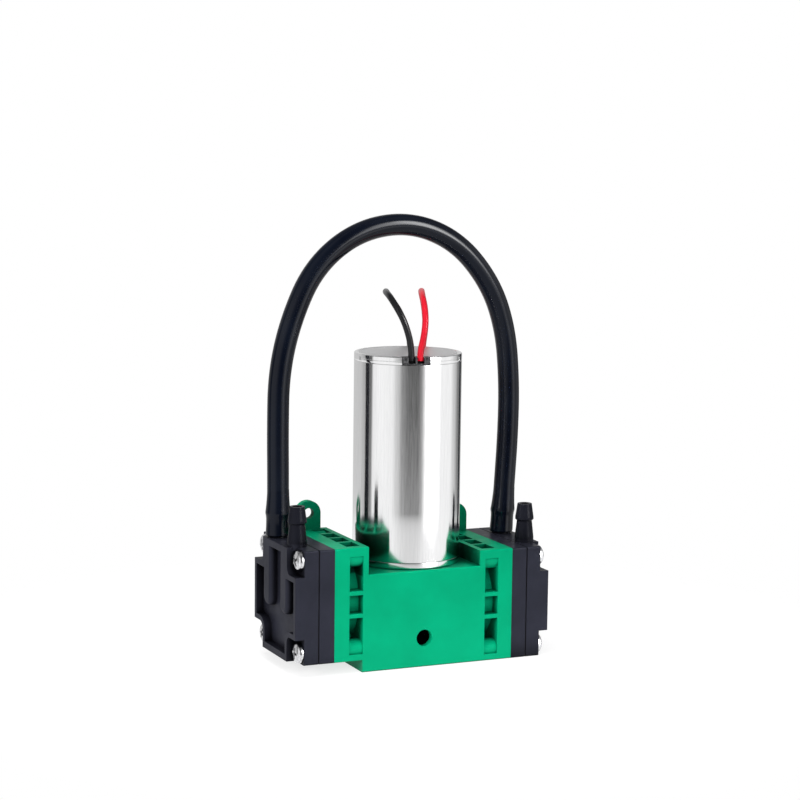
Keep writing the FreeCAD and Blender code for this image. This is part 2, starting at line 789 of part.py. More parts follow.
def make_journal_rings():
    spacer = ring("spacer_ring", S.journal_radius, S.journal_radius + S.spacer_depth,
                  AXIS_HEIGHT[1] + S.rod_bearing_width / 2, AXIS_HEIGHT[-1] - S.rod_bearing_width / 2)
    node(place(spacer, PIN_X, 0.0, 0.0), "bearing_spacer")
    clip = ring("clip_ring", S.journal_radius, S.journal_radius + S.clip_depth,
                UPPER_BEARING_TOP, UPPER_BEARING_TOP + S.clip_thickness)
    node(place(clip, PIN_X, 0.0, 0.0), "retaining_ring")


def make_rod_bearing(side):
    """Shielded ball bearing: inner ring on the journal, outer ring in the rod."""
    tag = SIDE_NAME[side]
    low = AXIS_HEIGHT[side] - S.rod_bearing_width / 2
    high = AXIS_HEIGHT[side] + S.rod_bearing_width / 2
    race = S.journal_radius + S.ring_thickness
    inner = ring("race_inner_" + tag, S.journal_radius, race, low, high)
    node(place(inner, PIN_X, 0.0, 0.0), "bearing_inner_" + tag)
    shield = S.rod_bearing_width / 10
    lip = race + 0.1 * S.ring_thickness
    wall = S.rod_bearing_radius - S.ring_thickness
    outer = turned("race_outer_" + tag, [
        (S.rod_bearing_radius, low), (S.rod_bearing_radius, high), (lip, high), (lip, high - shield),
        (wall, high - shield), (wall, low + shield), (lip, low + shield), (lip, low)])
    node(place(outer, PIN_X, 0.0, 0.0), "bearing_outer_" + tag)


# Connecting rods and diaphragms


def drive(side):
    """How far the middle of one diaphragm stands outwards from its flange at rest."""
    return S.throw * side


def rod_reach(side):
    """From the journal's axis to the foot's face, which carries the diaphragm."""
    foot = FLANGE - S.diaphragm_thickness + drive(side)
    return foot - PIN_X * side


def make_rod(side):
    """Ring, tapered shank with a pocket on each flat, and a round foot."""
    tag = SIDE_NAME[side]
    reach = rod_reach(side)
    half_width = S.rod_bearing_width / 2
    body = new_body("rod_body_" + tag)
    big = sketch_on(body, "big_end_" + tag, "XY_Plane", -half_width)
    circle(big, 0.0, 0.0, S.big_end_radius)
    pad(body, big, S.rod_bearing_width)
    shank = sketch_on(body, "shank_" + tag, "XY_Plane", -half_width)
    half = S.shank_width / 2
    outline(shank, [(S.journal_radius, -half * 1.3), (reach - S.foot_thickness / 2, -half),
                    (reach - S.foot_thickness / 2, half), (S.journal_radius, half * 1.3)])
    pad(body, shank, S.rod_bearing_width)
    foot = sketch_on(body, "foot_" + tag, "YZ_Plane", reach - S.foot_thickness)
    circle(foot, 0.0, 0.0, S.foot_radius)
    pad(body, foot, S.foot_thickness)
    bore = sketch_on(body, "big_bore_" + tag, "XY_Plane", half_width)
    circle(bore, 0.0, 0.0, S.rod_bearing_radius)
    pocket(body, bore, S.rod_bearing_width)
    depth = (S.rod_bearing_width - S.shank_web) / 2
    for face, height, way in (("top", half_width, False), ("low", -half_width, True)):
        recess = sketch_on(body, "recess_%s_%s" % (face, tag), "XY_Plane", height)
        rim = S.shank_web
        near, far = (S.big_end_radius + rim, reach - S.foot_thickness * 2.6)
        outline(recess, [(near, -half + rim), (far, -half + rim * 1.4),
                         (far, half - rim * 1.4), (near, half - rim)])
        pocket(body, recess, depth, way)
    hole = sketch_on(body, "foot_hole_" + tag, "YZ_Plane", reach)
    circle(hole, 0.0, 0.0, S.retainer_screw_radius + S.thread_clearance)
    pocket(body, hole, S.retainer_screw_length)
    turn = NO_TURN if side > 0 else Rotation(Vector(0, 0, 1), 180)
    node(place(body, PIN_X, 0.0, AXIS_HEIGHT[side], turn), "connecting_rod_" + tag)


def head_turn(side):
    """Heads are the same part at both ends, turned half round about Z."""
    return NO_TURN if side > 0 else Rotation(Vector(0, 0, 1), 180)


def place_in_head(thing, side):
    return place(thing, FLANGE * side, 0.0, AXIS_HEIGHT[side], head_turn(side))


def place_round_in_head(thing, side):
    return place(thing, FLANGE * side, 0.0, AXIS_HEIGHT[side], head_turn(side) * TURN_TO_X)


def make_diaphragm(side):
    tag = SIDE_NAME[side]
    lift = drive(side)
    thick = S.diaphragm_thickness
    hole = S.retainer_screw_radius + S.screw_clearance
    body = turned("diaphragm_body_" + tag, [
        (hole, lift - thick), (S.diaphragm_web, lift - thick), (BORE_RADIUS - S.seat_clearance, -thick),
        (S.diaphragm_radius, -thick), (S.diaphragm_radius, 0.0), (BORE_RADIUS - S.seat_clearance * 3, 0.0),
        (S.diaphragm_web, lift), (hole, lift)])
    node(place_round_in_head(body, side), "diaphragm_" + tag)


def make_retainer(side):
    """Disc that clamps the diaphragm to the rod's foot, and its flush screw."""
    tag = SIDE_NAME[side]
    low = drive(side)
    high = low + S.retainer_thickness
    hole = S.retainer_screw_radius + S.screw_clearance
    disc = turned("retainer_body_" + tag, [
        (hole, low), (S.retainer_radius, low), (S.retainer_radius, low + S.retainer_thickness * 0.5),
        (S.retainer_radius - S.retainer_thickness * 0.5, high), (hole + S.retainer_thickness, high)])
    node(place_round_in_head(disc, side), "retainer_" + tag)
    radius = S.retainer_screw_radius
    tip = high - S.retainer_screw_length
    gap = S.thread_clearance
    screw = turned("retainer_screw_body_" + tag, [
        (0.0, tip), (radius, tip), (radius, low), (radius + S.retainer_thickness, high - gap),
        (0.0, high - gap)])
    node(place_round_in_head(screw, side), "retainer_screw_" + tag)


# Heads


def square(sketch, half):
    rectangle(sketch, -half, half, -half, half)


def screw_circles(sketch, radius):
    for y, z in corners(SCREW_OFFSET):
        circle(sketch, y, z, radius)


def make_valve_plate(side):
    """Plate with the pump chamber on its inner face and two ports."""
    tag = SIDE_NAME[side]
    body = new_body("valve_plate_body_" + tag)
    base = sketch_on(body, "plate_square_" + tag, "YZ_Plane")
    square(base, HALF)
    pad(body, base, S.plate_thickness)
    round_edges(body, "plate_corners_" + tag, along_x, S.head_edge)
    dish = sketch_on(body, "chamber_" + tag, "XY_Plane")
    outline(dish, [(0.0, 0.0), (S.chamber_depth, 0.0), (S.chamber_depth, S.chamber_floor_radius),
                   (0.0, S.chamber_mouth_radius)])
    groove(body, dish, "H_Axis")
    holes = sketch_on(body, "plate_holes_" + tag, "YZ_Plane", S.plate_thickness)
    screw_circles(holes, S.screw_radius + S.screw_clearance)
    for way in (-1, 1):
        circle(holes, S.port_offset * way, 0.0, S.port_radius)
    pocket(body, holes, S.plate_thickness * 2)
    node(place_in_head(body, side), "valve_plate_" + tag)


def make_valve_sheet(side):
    """Elastomer sheet: it seals the cover and carries the two valve flaps."""
    tag = SIDE_NAME[side]
    body = new_body("valve_sheet_body_" + tag)
    base = sketch_on(body, "sheet_square_" + tag, "YZ_Plane", SHEET_START)
    square(base, HALF - S.sheet_inset)
    pad(body, base, S.sheet_thickness)
    holes = sketch_on(body, "sheet_holes_" + tag, "YZ_Plane", SHEET_START + S.sheet_thickness)
    screw_circles(holes, S.screw_radius + S.screw_clearance)
    pocket(body, holes, S.sheet_thickness * 2)
    slots = sketch_on(body, "flap_slots_" + tag, "YZ_Plane", SHEET_START + S.sheet_thickness)
    gap = S.sheet_thickness
    for way in (-1, 1):
        middle = S.port_offset * way
        near = S.flap_radius
        far = S.flap_radius + gap
        outline(slots, [(middle - far, -far), (middle + far, -far), (middle + far, far),
                        (middle + near, far), (middle + near, -near), (middle - near, -near),
                        (middle - near, far), (middle - far, far)])
    pocket(body, slots, S.sheet_thickness * 2)
    node(place_in_head(body, side), "valve_sheet_" + tag)


def corner_notches(sketch):
    """What the raised cross leaves free at the four corners, where the screws sit."""
    arm = ARM_HALF_HEIGHT
    wide = ARM_HALF_WIDTH
    rectangle(sketch, wide, HALF, arm, HALF)
    rectangle(sketch, -HALF, -wide, arm, HALF)
    rectangle(sketch, -HALF, -wide, -HALF, -arm)
    rectangle(sketch, wide, HALF, -HALF, -arm)


def barb_outline(foot):
    """(radius, height) points of a hose barb: root, neck, lip and tapered tip."""
    tip = foot + S.barb_length
    lip = tip - S.barb_lip_drop
    land = lip - S.barb_lip_land
    neck = land - (S.barb_lip_radius - S.barb_neck_radius)
    return [(S.barb_root_radius, foot - S.cross_rim), (S.barb_root_radius, foot + S.barb_root_radius / 2),
            (S.barb_neck_radius, neck), (S.barb_lip_radius, land), (S.barb_lip_radius, lip),
            (S.barb_tip_radius, tip)]


def add_barb(body, tag, way):
    name = "barb_%s_%s" % (tag, "back" if way > 0 else "front")
    profile = sketch_on(body, name, "XZ_Plane", -S.barb_offset * way, (S.barb_reach, 0.0))
    side_line = barb_outline(HALF)
    outline(profile, [(0.0, side_line[0][1])] + side_line + [(0.0, side_line[-1][1])])
    revolve(body, profile)


def face_recess(sketch):
    """Outline of the cross's recess, round the pillar over each air passage."""
    side = ARM_HALF_HEIGHT - S.face_rim
    end = HALF - S.face_rim_end
    foot = ARM_HALF_WIDTH - S.face_rim
    half = [(PILLAR_INNER, end), (PILLAR_INNER, -S.pillar_drop), (ARM_HALF_WIDTH, -S.pillar_drop),
            (ARM_HALF_WIDTH, side), (HALF - S.face_rim, side), (HALF - S.face_rim, -side),
            (foot, -side), (foot, -end)]
    outline(sketch, half + [(-y, z) for y, z in reversed(half)])


def soften_face(body, tag):
    """Round the pillars' lower ends and crowns and the recess's inner corners."""
    inner, outer = (number(PILLAR_INNER), number(ARM_HALF_WIDTH))
    drop, face = (number(S.pillar_drop), number(CROSS_FACE))
    corner = (number(ARM_HALF_WIDTH - S.face_rim), number(ARM_HALF_HEIGHT - S.face_rim))

    def upright(edge, y, z):
        middle = edge.CenterOfMass
        return along_x(edge) and abs(abs(middle.y) - y) < 0.01 and abs(middle.z + z) < 0.01

    def pillar_end(edge):
        return upright(edge, inner, drop) or upright(edge, outer, drop)

    def recess_corner(edge):
        return upright(edge, *corner)

    def crown(edge):
        middle = edge.CenterOfMass
        return (abs(middle.x - face) < 0.01 and inner - 0.01 < abs(middle.y) < outer + 0.01
                and middle.z > -drop - 0.01 and edge.BoundBox.YLength < outer - inner)
    round_edges(body, "pillar_ends_" + tag, pillar_end, S.pillar_width * 0.49)
    round_edges(body, "recess_corners_" + tag, recess_corner, S.cross_corner + S.face_rim)
    round_edges(body, "pillar_crowns_" + tag, crown, S.pillar_round)


def make_cover(side):
    """Outer cover: square plate, raised cross with a recess, barbs and air passages."""
    tag = SIDE_NAME[side]
    body = new_body("cover_body_" + tag)
    base = sketch_on(body, "cover_square_" + tag, "YZ_Plane", COVER_START)
    square(base, HALF)
    pad(body, base, S.cap_plate_thickness + S.cross_height)
    round_edges(body, "cover_corners_" + tag, along_x, S.head_edge)
    recess = sketch_on(body, "face_recess_" + tag, "YZ_Plane", CROSS_FACE)
    face_recess(recess)
    pocket(body, recess, S.recess_depth)
    soften_face(body, tag)
    notches = sketch_on(body, "notches_" + tag, "YZ_Plane", CROSS_FACE)
    corner_notches(notches)
    pocket(body, notches, S.cross_height)
    arm = number(ARM_HALF_HEIGHT)
    wide = number(ARM_HALF_WIDTH)

    def inner_corner(edge):
        middle = edge.CenterOfMass
        return along_x(edge) and abs(abs(middle.y) - wide) < 0.01 and abs(abs(middle.z) - arm) < 0.01
    round_edges(body, "cross_corners_" + tag, inner_corner, S.cross_corner)
    for way in (-1, 1):
        end = "back" if way > 0 else "front"
        add_barb(body, tag, way)
        bore = sketch_on(body, "barb_bore_%s_%s" % (tag, end), "XY_Plane", HALF + S.barb_length)
        circle(bore, S.barb_reach, S.barb_offset * way, S.barb_bore_radius)
        pocket(body, bore, S.barb_length + HALF + S.pillar_drop - S.barb_bore_radius)
    cavities = sketch_on(body, "cavities_" + tag, "YZ_Plane", COVER_START)
    half_cavity = S.port_offset - S.cross_rim
    for way in (-1, 1):
        middle = S.port_offset * way
        near, far = (middle - half_cavity, middle + half_cavity + S.barb_bore_radius * 2)
        if way < 0:
            near, far = (middle - half_cavity - S.barb_bore_radius * 2, middle + half_cavity)
        rectangle(cavities, near, far, -S.flap_radius * 2, S.flap_radius * 2)
    pocket(body, cavities, S.cavity_depth, True)
    holes = sketch_on(body, "cover_holes_" + tag, "YZ_Plane", COVER_FACE)
    screw_circles(holes, S.screw_radius + S.screw_clearance)
    pocket(body, holes, S.cap_plate_thickness * 2)
    node(place_in_head(body, side), "cover_" + tag)


def make_head_screws(side):
    """Four pan-head screws through cover and plate into the frame's bosses."""
    tag = SIDE_NAME[side]
    turn = head_turn(side) * Rotation(Vector(0, 1, 0), -90)
    length = COVER_FACE + S.screw_engagement
    screws = []
    for i, (y, z) in enumerate(corners(SCREW_OFFSET)):
        screw = headed_screw("head_screw_%s_%d" % (tag, i), S.screw_radius, length - S.thread_clearance,
                             S.screw_head_radius, S.screw_head_height)
        screws.append(place(screw, (FLANGE + COVER_FACE) * side, y, AXIS_HEIGHT[side] + z, turn))
    node(group("head_screws_group_" + tag, screws), "head_screws_" + tag)


# Hose and leads


def route_path(points):
    """Straight runs joined by tangent arcs, each as large as its two runs allow."""
    edges = []
    radii = []
    start = points[0]
    for before, here, after in zip(points, points[1:], points[2:]):
        back = (before - here).normalize()
        ahead = (after - here).normalize()
        turn = math.pi - back.getAngle(ahead)
        trim = 0.45 * min((before - here).Length, (after - here).Length)
        radius = trim / math.tan(turn / 2)
        radii.append(radius)
        first = here + back * trim
        last = here + ahead * trim
        centre = here + (back + ahead).normalize() * math.hypot(radius, trim)
        middle = centre + (here - centre).normalize() * radius
        edges.append(Part.LineSegment(start, first).toShape())
        edges.append(Part.Arc(first, middle, last).toShape())
        start = last
    edges.append(Part.LineSegment(start, points[-1]).toShape())
    return Part.Wire(edges), radii


def swept(points, radius):
    """A round bar along a route, with its radii and its volume reported."""
    path, radii = route_path(points)
    heading = (points[1] - points[0]).normalize()
    section = Part.Wire([Part.Circle(points[0], heading, radius).toShape()])
    bar = path.makePipeShell([section], True, True)
    expected = math.pi * radius ** 2 * path.Length
    return bar, path.Length, min(radii), bar.Volume / expected


def loose_solid(shape, label):
    feature = doc.addObject("Part::Feature", label + "_shape")
    feature.Shape = shape
    node(feature, label)


def turned_shape(profile, x, y):
    """A plain solid of revolution about the upright line through (x, y)."""
    points = [Vector(number(r), 0, number(h)) for r, h in profile]
    points = [Vector(0, 0, points[0].z)] + points + [Vector(0, 0, points[-1].z)]
    face = Part.Face(Part.makePolygon(points + points[:1]))
    solid = face.revolve(Vector(0, 0, 0), Vector(0, 0, 1), 360)
    solid.translate(Vector(number(x), number(y), 0))
    return solid


def hose_end(side):
    """The stretched end of the hose over its barb, and the barb's own outline."""
    foot = AXIS_HEIGHT[side] + HALF
    x = (FLANGE + S.barb_reach) * side
    tip = foot + S.barb_length
    lip = tip - S.barb_lip_drop
    land = lip - S.barb_lip_land
    wide = S.hose_radius + S.hose_swell
    sleeve = [(wide - S.hose_swell / 4, foot + S.hose_seat_gap),
              (wide - S.hose_swell / 2, land - S.barb_lip_radius),
              (wide, land), (wide, lip), (S.hose_radius, tip)]
    outer = turned_shape(sleeve, x, S.barb_offset)
    barb = turned_shape(barb_outline(foot), x, S.barb_offset)
    return outer, barb


def hose_route():
    """Centre line of the hose, from the left rear barb over the motor to the right."""
    foot_left = number(AXIS_HEIGHT[-1] + HALF + S.hose_seat_gap)
    foot_right = number(AXIS_HEIGHT[1] + HALF + S.hose_seat_gap)
    reach = number(FLANGE + S.barb_reach)
    over = [(-48.3, 68.2), (-48.6, 89.6), (-48.3, 112.5), (-43.5, 132.8), (-34.0, 153.1), (-16.3, 166.8),
            (5.7, 170.3), (26.5, 162.6), (41.6, 145.7), (48.8, 126.9), (50.9, 104.9), (50.7, 84.1),
            (49.5, 63.5)]
    ends = [(-reach, foot_left)] + over + [(reach, foot_right)]
    return [Vector(x, number(S.barb_offset), z) for x, z in ends]


def make_hose():
    route = hose_route()
    outside, length, tightest, ratio = swept(route, number(S.hose_radius))
    inside = swept(route, number(S.hose_bore_radius))[0]
    print("hose length %.1f, tightest radius %.1f, volume ratio %.4f" % (length, tightest, ratio))
    for side in (-1, 1):
        sleeve, barb = hose_end(side)
        outside = outside.fuse(sleeve)
        inside = inside.fuse(barb)
    loose_solid(outside.cut(inside), "hose")


def lead_route(side):
    """From the grommet up, back over the motor, down behind it and into the coil."""
    if side < 0:
        rest = [(-6.4, -18.6, 128.1), (-8.7, -18.6, 134.4), (-10.5, -15.6, 139.3), (-10.7, -9.6, 142.8),
                (-8.9, -2.0, 143.8), (-5.2, 7.0, 143.3), (-1.1, 16.0, 142.5), (3.3, 24.5, 140.7),
                (8.5, 31.6, 137.4), (13.8, 36.2, 132.6), (16.7, 36.9, 126.8), (18.5, 35.4, 119.9),
                (17.4, 33.8, 108.0), (12.5, 33.2, 86.0), (6.3, 33.4, 60.0), (1.3, 33.2, 40.0),
                (-2.6, 32.9, 23.0), (-4.2, 32.5, 12.5), (-1.2, 32.2, 6.2), (3.2, 31.9, 2.7)]
    else:
        rest = [(-0.8, -19.3, 127.0), (0.1, -19.2, 133.1), (1.0, -16.4, 138.5), (2.9, -10.0, 142.1),
                (6.1, -2.0, 143.3), (10.1, 7.0, 143.2), (14.1, 16.0, 142.3), (18.1, 24.5, 140.5),
                (22.1, 31.6, 137.1), (25.0, 36.2, 131.7), (25.8, 36.9, 125.5), (24.0, 35.4, 118.9),
                (22.4, 33.8, 108.0), (22.3, 33.2, 86.0), (22.4, 33.6, 60.0), (23.8, 33.5, 40.0),
                (26.8, 33.0, 23.0), (31.0, 32.6, 12.5), (34.6, 32.2, 6.2), (39.2, 31.9, 2.7)]
    x, y = lead_exit(side)
    start = (number(x), number(y), number(MOTOR_TOP - S.cap_height / 2))
    above = (start[0], start[1], start[2] + 3 * number(S.lead_radius))
    return [Vector(*point) for point in [start, above] + rest]


def coil_shape(end):
    """The outer shape of a small round coil that lies on the surface."""
    centre = Vector(end.x + number(S.lead_radius), end.y + number(S.coil_radius), 0)
    height = number(S.lead_radius) * 4 + number(S.thread_clearance) * 2
    disc = Part.makeCylinder(number(S.coil_radius + S.coil_band), height, centre)
    return disc.cut(Part.makeCylinder(number(S.coil_radius - S.coil_band), height, centre))


def make_leads():
    """Each lead is one tube down to the surface behind the pump and one coil there."""
    for side, colour in ((-1, "black"), (1, "red")):
        route = lead_route(side)
        bar, length, tightest, ratio = swept(route, number(S.lead_radius))
        print("%s lead: length %.1f, tightest radius %.1f, volume ratio %.4f"
              % (colour, length, tightest, ratio))
        coil = coil_shape(route[-1])
        loose_solid(bar.cut(coil), "lead_" + colour)
        loose_solid(coil, "lead_coil_" + colour)


def check_and_write():
    """Refuse a failed object, a wrong solid or a missing one, then write each node."""
    for thing in doc.Objects:
        if "Invalid" in thing.State or "Error" in thing.State:
            raise RuntimeError(thing.Label + " failed: " + str(thing.State))
    os.makedirs("parts", exist_ok=True)
    for thing in NODES:
        shape = thing.Shape
        if shape.isNull() or not shape.isValid() or not shape.Solids:
            raise RuntimeError(thing.Label + " has no valid solid")
        shape.exportStep("parts/" + thing.Label + ".step")
        print("%-26s solids %2d volume %9.1f" % (thing.Label, len(shape.Solids), shape.Volume))


make_frame()
make_base_cover()
make_base_screws()
make_motor_bell()
make_motor_can()
make_motor_cap()
make_motor_grommet()
make_motor_inside()
make_motor_screws()
make_rotor()
make_eccentric()
make_set_screw()
make_journal_rings()
for end_side in (1, -1):
    make_rod_bearing(end_side)
    make_rod(end_side)
    make_diaphragm(end_side)
    make_retainer(end_side)
    make_valve_plate(end_side)
    make_valve_sheet(end_side)
    make_cover(end_side)
    make_head_screws(end_side)
make_hose()
make_leads()
doc.recompute()
check_and_write()
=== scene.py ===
import math

import bmesh
import bpy
from mathutils import Matrix, Vector


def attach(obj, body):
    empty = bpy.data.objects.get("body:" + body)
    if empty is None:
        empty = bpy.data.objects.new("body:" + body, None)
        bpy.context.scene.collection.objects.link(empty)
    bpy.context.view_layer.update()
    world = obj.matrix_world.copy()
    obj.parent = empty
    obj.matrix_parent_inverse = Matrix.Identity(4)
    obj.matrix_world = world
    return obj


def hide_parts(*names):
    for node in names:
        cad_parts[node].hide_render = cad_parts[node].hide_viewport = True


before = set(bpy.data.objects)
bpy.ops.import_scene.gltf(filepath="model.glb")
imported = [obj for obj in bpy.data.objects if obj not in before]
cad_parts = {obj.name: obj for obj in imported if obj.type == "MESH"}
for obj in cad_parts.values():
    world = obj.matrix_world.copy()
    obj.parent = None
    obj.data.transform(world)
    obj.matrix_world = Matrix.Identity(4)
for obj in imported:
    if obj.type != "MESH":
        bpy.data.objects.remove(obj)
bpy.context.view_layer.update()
MM = 0.001
RIG = "pump_body"
SIDE_NAME = {1: "right", -1: "left"}

# Sizes in millimetres that the dressed pieces share with the solids
HALF = 22.0
FLANGE = 37.5
HEAD_HEIGHT = {1: 22.0, -1: 26.7}
COVER_FACE = FLANGE + 12.3
SCREW_OFFSET = 17.75
BARB_X = FLANGE + 10.9
BARB_Y = 10.3
MOTOR_X = 1.5
MOTOR_RADIUS = 21.0
MOTOR_FOOT = 38.0
BELL_TOP = 40.6
CAP_START = 117.3
MOTOR_TOP = 120.3
LEAD_SPOT = {"black": (-5.0, -17.7), "red": (-1.7, -18.6)}
LEAD_START = 118.8
NOTCH_TURN = 255.0

# Angle in degrees above which two faces meet in a crisp edge
CRISP = 32.0

# Camera, in pixels, in millimetres of sensor and in metres
PHOTO_WIDTH = 800
PHOTO_FOCUS = 2265.618
SENSOR_WIDTH = 36.0
CAMERA_SPOT = (-0.357352, -0.799833, 0.215715)
CAMERA_RIGHT = (0.91429731, -0.40486985, 0.01186714)
CAMERA_UP = (0.04167303, 0.12317028, 0.99151018)
CAMERA_AHEAD = (0.40289426, 0.90604056, -0.12948641)

# Sockets of the mix node, whose names are the same for numbers and colours
FLOAT_A, FLOAT_B, FLOAT_OUT = 2, 3, 0
COLOUR_A, COLOUR_B, COLOUR_OUT = 6, 7, 2
WHITE = (1.0, 1.0, 1.0, 1.0)

# Noise values at which a surface takes its dark and its light colour
CONTRAST = (0.3, 0.7)

# Moulded surfaces, in metres and in cycles per metre, with the reach of the painted shade in
# crevices, and in millimetres above a head the start of the barbs' painted shade and glossier
# finish
SMUDGE_SCALE = 160.0
SMUDGE_GLOSS = 0.06
GRAIN_DEPTH = 0.00002
CREVICE_REACH = 0.012
CROWN_START = 0.4
CROWN_RISE = 0.0012
# Share of the barbs' colour that the painted shade takes away
CROWN_PAINTED_SHADE = 0.55
CROWN_GLOSSIER = 0.14

# Painted shade on the frame's deck, in metres: where it sets in along Z and Y, and how far it
# reaches
DECK_TOP = (0.0370, 0.0376)
DECK_FRONT = (-0.0217, -0.0210)
DECK_REACH = 0.030
DECK_DIMMED = (0.35, 0.80)

# Metal surfaces: the marks' depth in metres, what they add to the roughness, the reach of the
# painted shade in a screw's recess, and the share of a turn that sets the smear upright
MARK_DEPTH = 0.000008
MARK_GLOSS = (-0.02, 0.03)
METAL_REACH = 0.0025
SMEAR_TURN = 0.25

# Hose over the motor, from the left rear barb to the right one, as X and Z in millimetres;
# its line starts and ends HOSE_LIFT above the heads
HOSE_RADIUS = 4.25
HOSE_SIDES = 11
HOSE_LIFT = 0.7
HOSE_LINE = [
    (-48.3, 68.2), (-48.6, 89.6), (-48.3, 112.5), (-43.5, 132.8), (-34.0, 153.1), (-16.3, 166.8),
    (5.7, 170.3), (26.5, 162.6), (41.6, 145.7), (48.8, 126.9), (50.9, 104.9), (50.7, 84.1),
    (49.5, 63.5)]

# The hose's end stretched over a barb, as radius and height above the head
SLEEVE_STEPS = 64
SLEEVE = [
    (3.85, 0.7), (4.50, 0.7), (4.68, 0.95), (4.66, 2.4), (4.57, 4.5), (4.57, 7.0), (4.70, 8.3),
    (4.88, 9.1), (4.88, 9.8), (4.76, 10.8), (4.60, 12.4), (4.46, 14.2), (4.34, 16.2), (4.26, 18.4)]

# Motor leads, from the cap over the motor and down behind the pump
LEAD_RADIUS = 1.25
LEAD_FINENESS = 6
LEAD_LINE = {
    "black": [
        (-5.0, -17.7, 122.6), (-6.4, -18.6, 128.1), (-8.7, -18.6, 134.4), (-10.5, -15.6, 139.3),
        (-10.7, -9.6, 142.8), (-8.9, -2.0, 143.8), (-5.2, 7.0, 143.3), (-1.1, 16.0, 142.5),
        (3.3, 24.5, 140.7), (8.5, 31.6, 137.4), (13.8, 36.2, 132.6), (16.7, 36.9, 126.8),
        (18.5, 35.4, 119.9), (17.4, 33.8, 108.0), (12.5, 33.2, 86.0), (6.3, 33.4, 60.0),
        (1.3, 33.2, 40.0), (-2.6, 32.9, 23.0), (-4.2, 32.5, 12.5), (-0.8, 31.4, 6.8)],
    "red": [
        (-1.7, -18.6, 122.6), (-0.8, -19.3, 127.0), (0.1, -19.2, 133.1), (1.0, -16.4, 138.5),
        (2.9, -10.0, 142.1), (6.1, -2.0, 143.3), (10.1, 7.0, 143.2), (14.1, 16.0, 142.3),
        (18.1, 24.5, 140.5), (22.1, 31.6, 137.1), (25.0, 36.2, 131.7), (25.8, 36.9, 125.5),
        (24.0, 35.4, 118.9), (22.4, 33.8, 108.0), (22.3, 33.2, 86.0), (22.4, 33.6, 60.0),
        (23.8, 33.5, 40.0), (26.8, 33.0, 23.0), (31.0, 32.6, 12.5), (35.2, 31.4, 6.8)],
}
COIL_MIDDLE = {"black": (4.45, 45.9), "red": (40.45, 45.9)}

# A lead's coil: turn in degrees, radius and height at the ends of each lay and of each change;
# its first point comes COIL_ENTRY after the start, and the others follow COIL_STEP apart
COIL_LAYS = [(270.0, 15.35, 3.85), (585.0, 15.35, 3.85), (622.0, 12.65, 3.85),
             (908.0, 12.65, 3.85), (945.0, 12.65, 1.29), (1230.0, 12.65, 1.29),
             (1268.0, 15.35, 1.29), (1585.0, 15.35, 1.29)]
COIL_ENTRY = 8.0
COIL_STEP = 22.0

# Bare copper tip of a lead, and how much of it lies inside the rubber
TIP_RADIUS = 0.75
TIP_HIDDEN = 0.5
TIP_BARE = 5.0

# Pan-head screws: the head's profile, its cross recess and how far each stands turned
SCREW_STEPS = 56
PAN_HEAD = [(0.0, 0.0), (3.85, 0.0), (4.0, 0.12), (4.0, 0.75), (3.93, 1.15), (3.72, 1.55),
            (3.35, 1.88), (2.8, 2.12), (2.0, 2.3), (1.0, 2.38), (0.0, 2.4)]
RECESS_REACH = 2.6
RECESS_WIDTH = 0.62
RECESS_TOP = 3.0
RECESS_FLOOR = 0.7
RECESS_TAPER = 0.45
SCREW_TURN = {(-1, -1): 24.0, (-1, 1): 63.0, (1, -1): 8.0, (1, 1): 41.0}
SIDE_TURN = 30

# Motor shell, as radius and height
SHELL_STEPS = 192
LID_STEPS = 128
BELL = [
    (0.0, MOTOR_FOOT), (20.3, MOTOR_FOOT), (20.7, MOTOR_FOOT + 0.12), (20.93, MOTOR_FOOT + 0.4),
    (MOTOR_RADIUS, MOTOR_FOOT + 0.8), (MOTOR_RADIUS, BELL_TOP - 0.16), (20.9, BELL_TOP - 0.06),
    (20.8, BELL_TOP - 0.05), (0.0, BELL_TOP - 0.05)]
TUBE = [
    (19.6, BELL_TOP), (20.8, BELL_TOP), (20.93, BELL_TOP + 0.05), (MOTOR_RADIUS, BELL_TOP + 0.18),
    (MOTOR_RADIUS, 60.0), (MOTOR_RADIUS, 80.0), (MOTOR_RADIUS, 100.0),
    (MOTOR_RADIUS, CAP_START - 0.16), (20.92, CAP_START - 0.06), (20.8, CAP_START),
    (19.6, CAP_START)]
CAP = [
    (0.0, CAP_START), (20.8, CAP_START), (20.93, CAP_START + 0.05),
    (MOTOR_RADIUS, CAP_START + 0.2), (MOTOR_RADIUS, CAP_START + 1.15), (20.9, CAP_START + 1.2),
    (20.9, CAP_START + 1.35), (MOTOR_RADIUS, CAP_START + 1.4), (MOTOR_RADIUS, MOTOR_TOP - 0.5),
    (20.92, MOTOR_TOP - 0.2), (20.72, MOTOR_TOP - 0.05), (20.5, MOTOR_TOP), (19.6, MOTOR_TOP),
    (19.45, MOTOR_TOP - 0.12), (0.0, MOTOR_TOP - 0.12)]
LID_PLATE = [(0.0, MOTOR_TOP - 0.3), (19.2, MOTOR_TOP - 0.3), (19.2, MOTOR_TOP - 0.08),
             (19.1, MOTOR_TOP), (0.0, MOTOR_TOP)]

# Blocks, between two corners, that are turned about the motor's axis: the stakes' marks and
# the notch are cut out of the cap's rim, and the grommet fills the notch
STAKE_TURNS = (-175.0, -44.0, 75.0)
STAKE = ((20.7, -0.8, CAP_START + 0.7), (22.0, 0.8, CAP_START + 2.0))
NOTCH = ((16.6, -5.5, CAP_START - 0.1), (24.0, 5.5, MOTOR_TOP + 3.0))
PLUG = ((16.7, -5.4, CAP_START + 0.05), (20.9, 5.4, MOTOR_TOP - 0.1))
PLUG_EDGE = 0.25

# Slots for the leads in the grommet
SLOT_STEPS = 32
SLOT_HALF = 1.35
SLOT_DEPTH = 4.5
SLOT_TURN = -15.0
SLOT_FOOT = CAP_START + 0.5
SLOT_TOP = MOTOR_TOP + 1.0

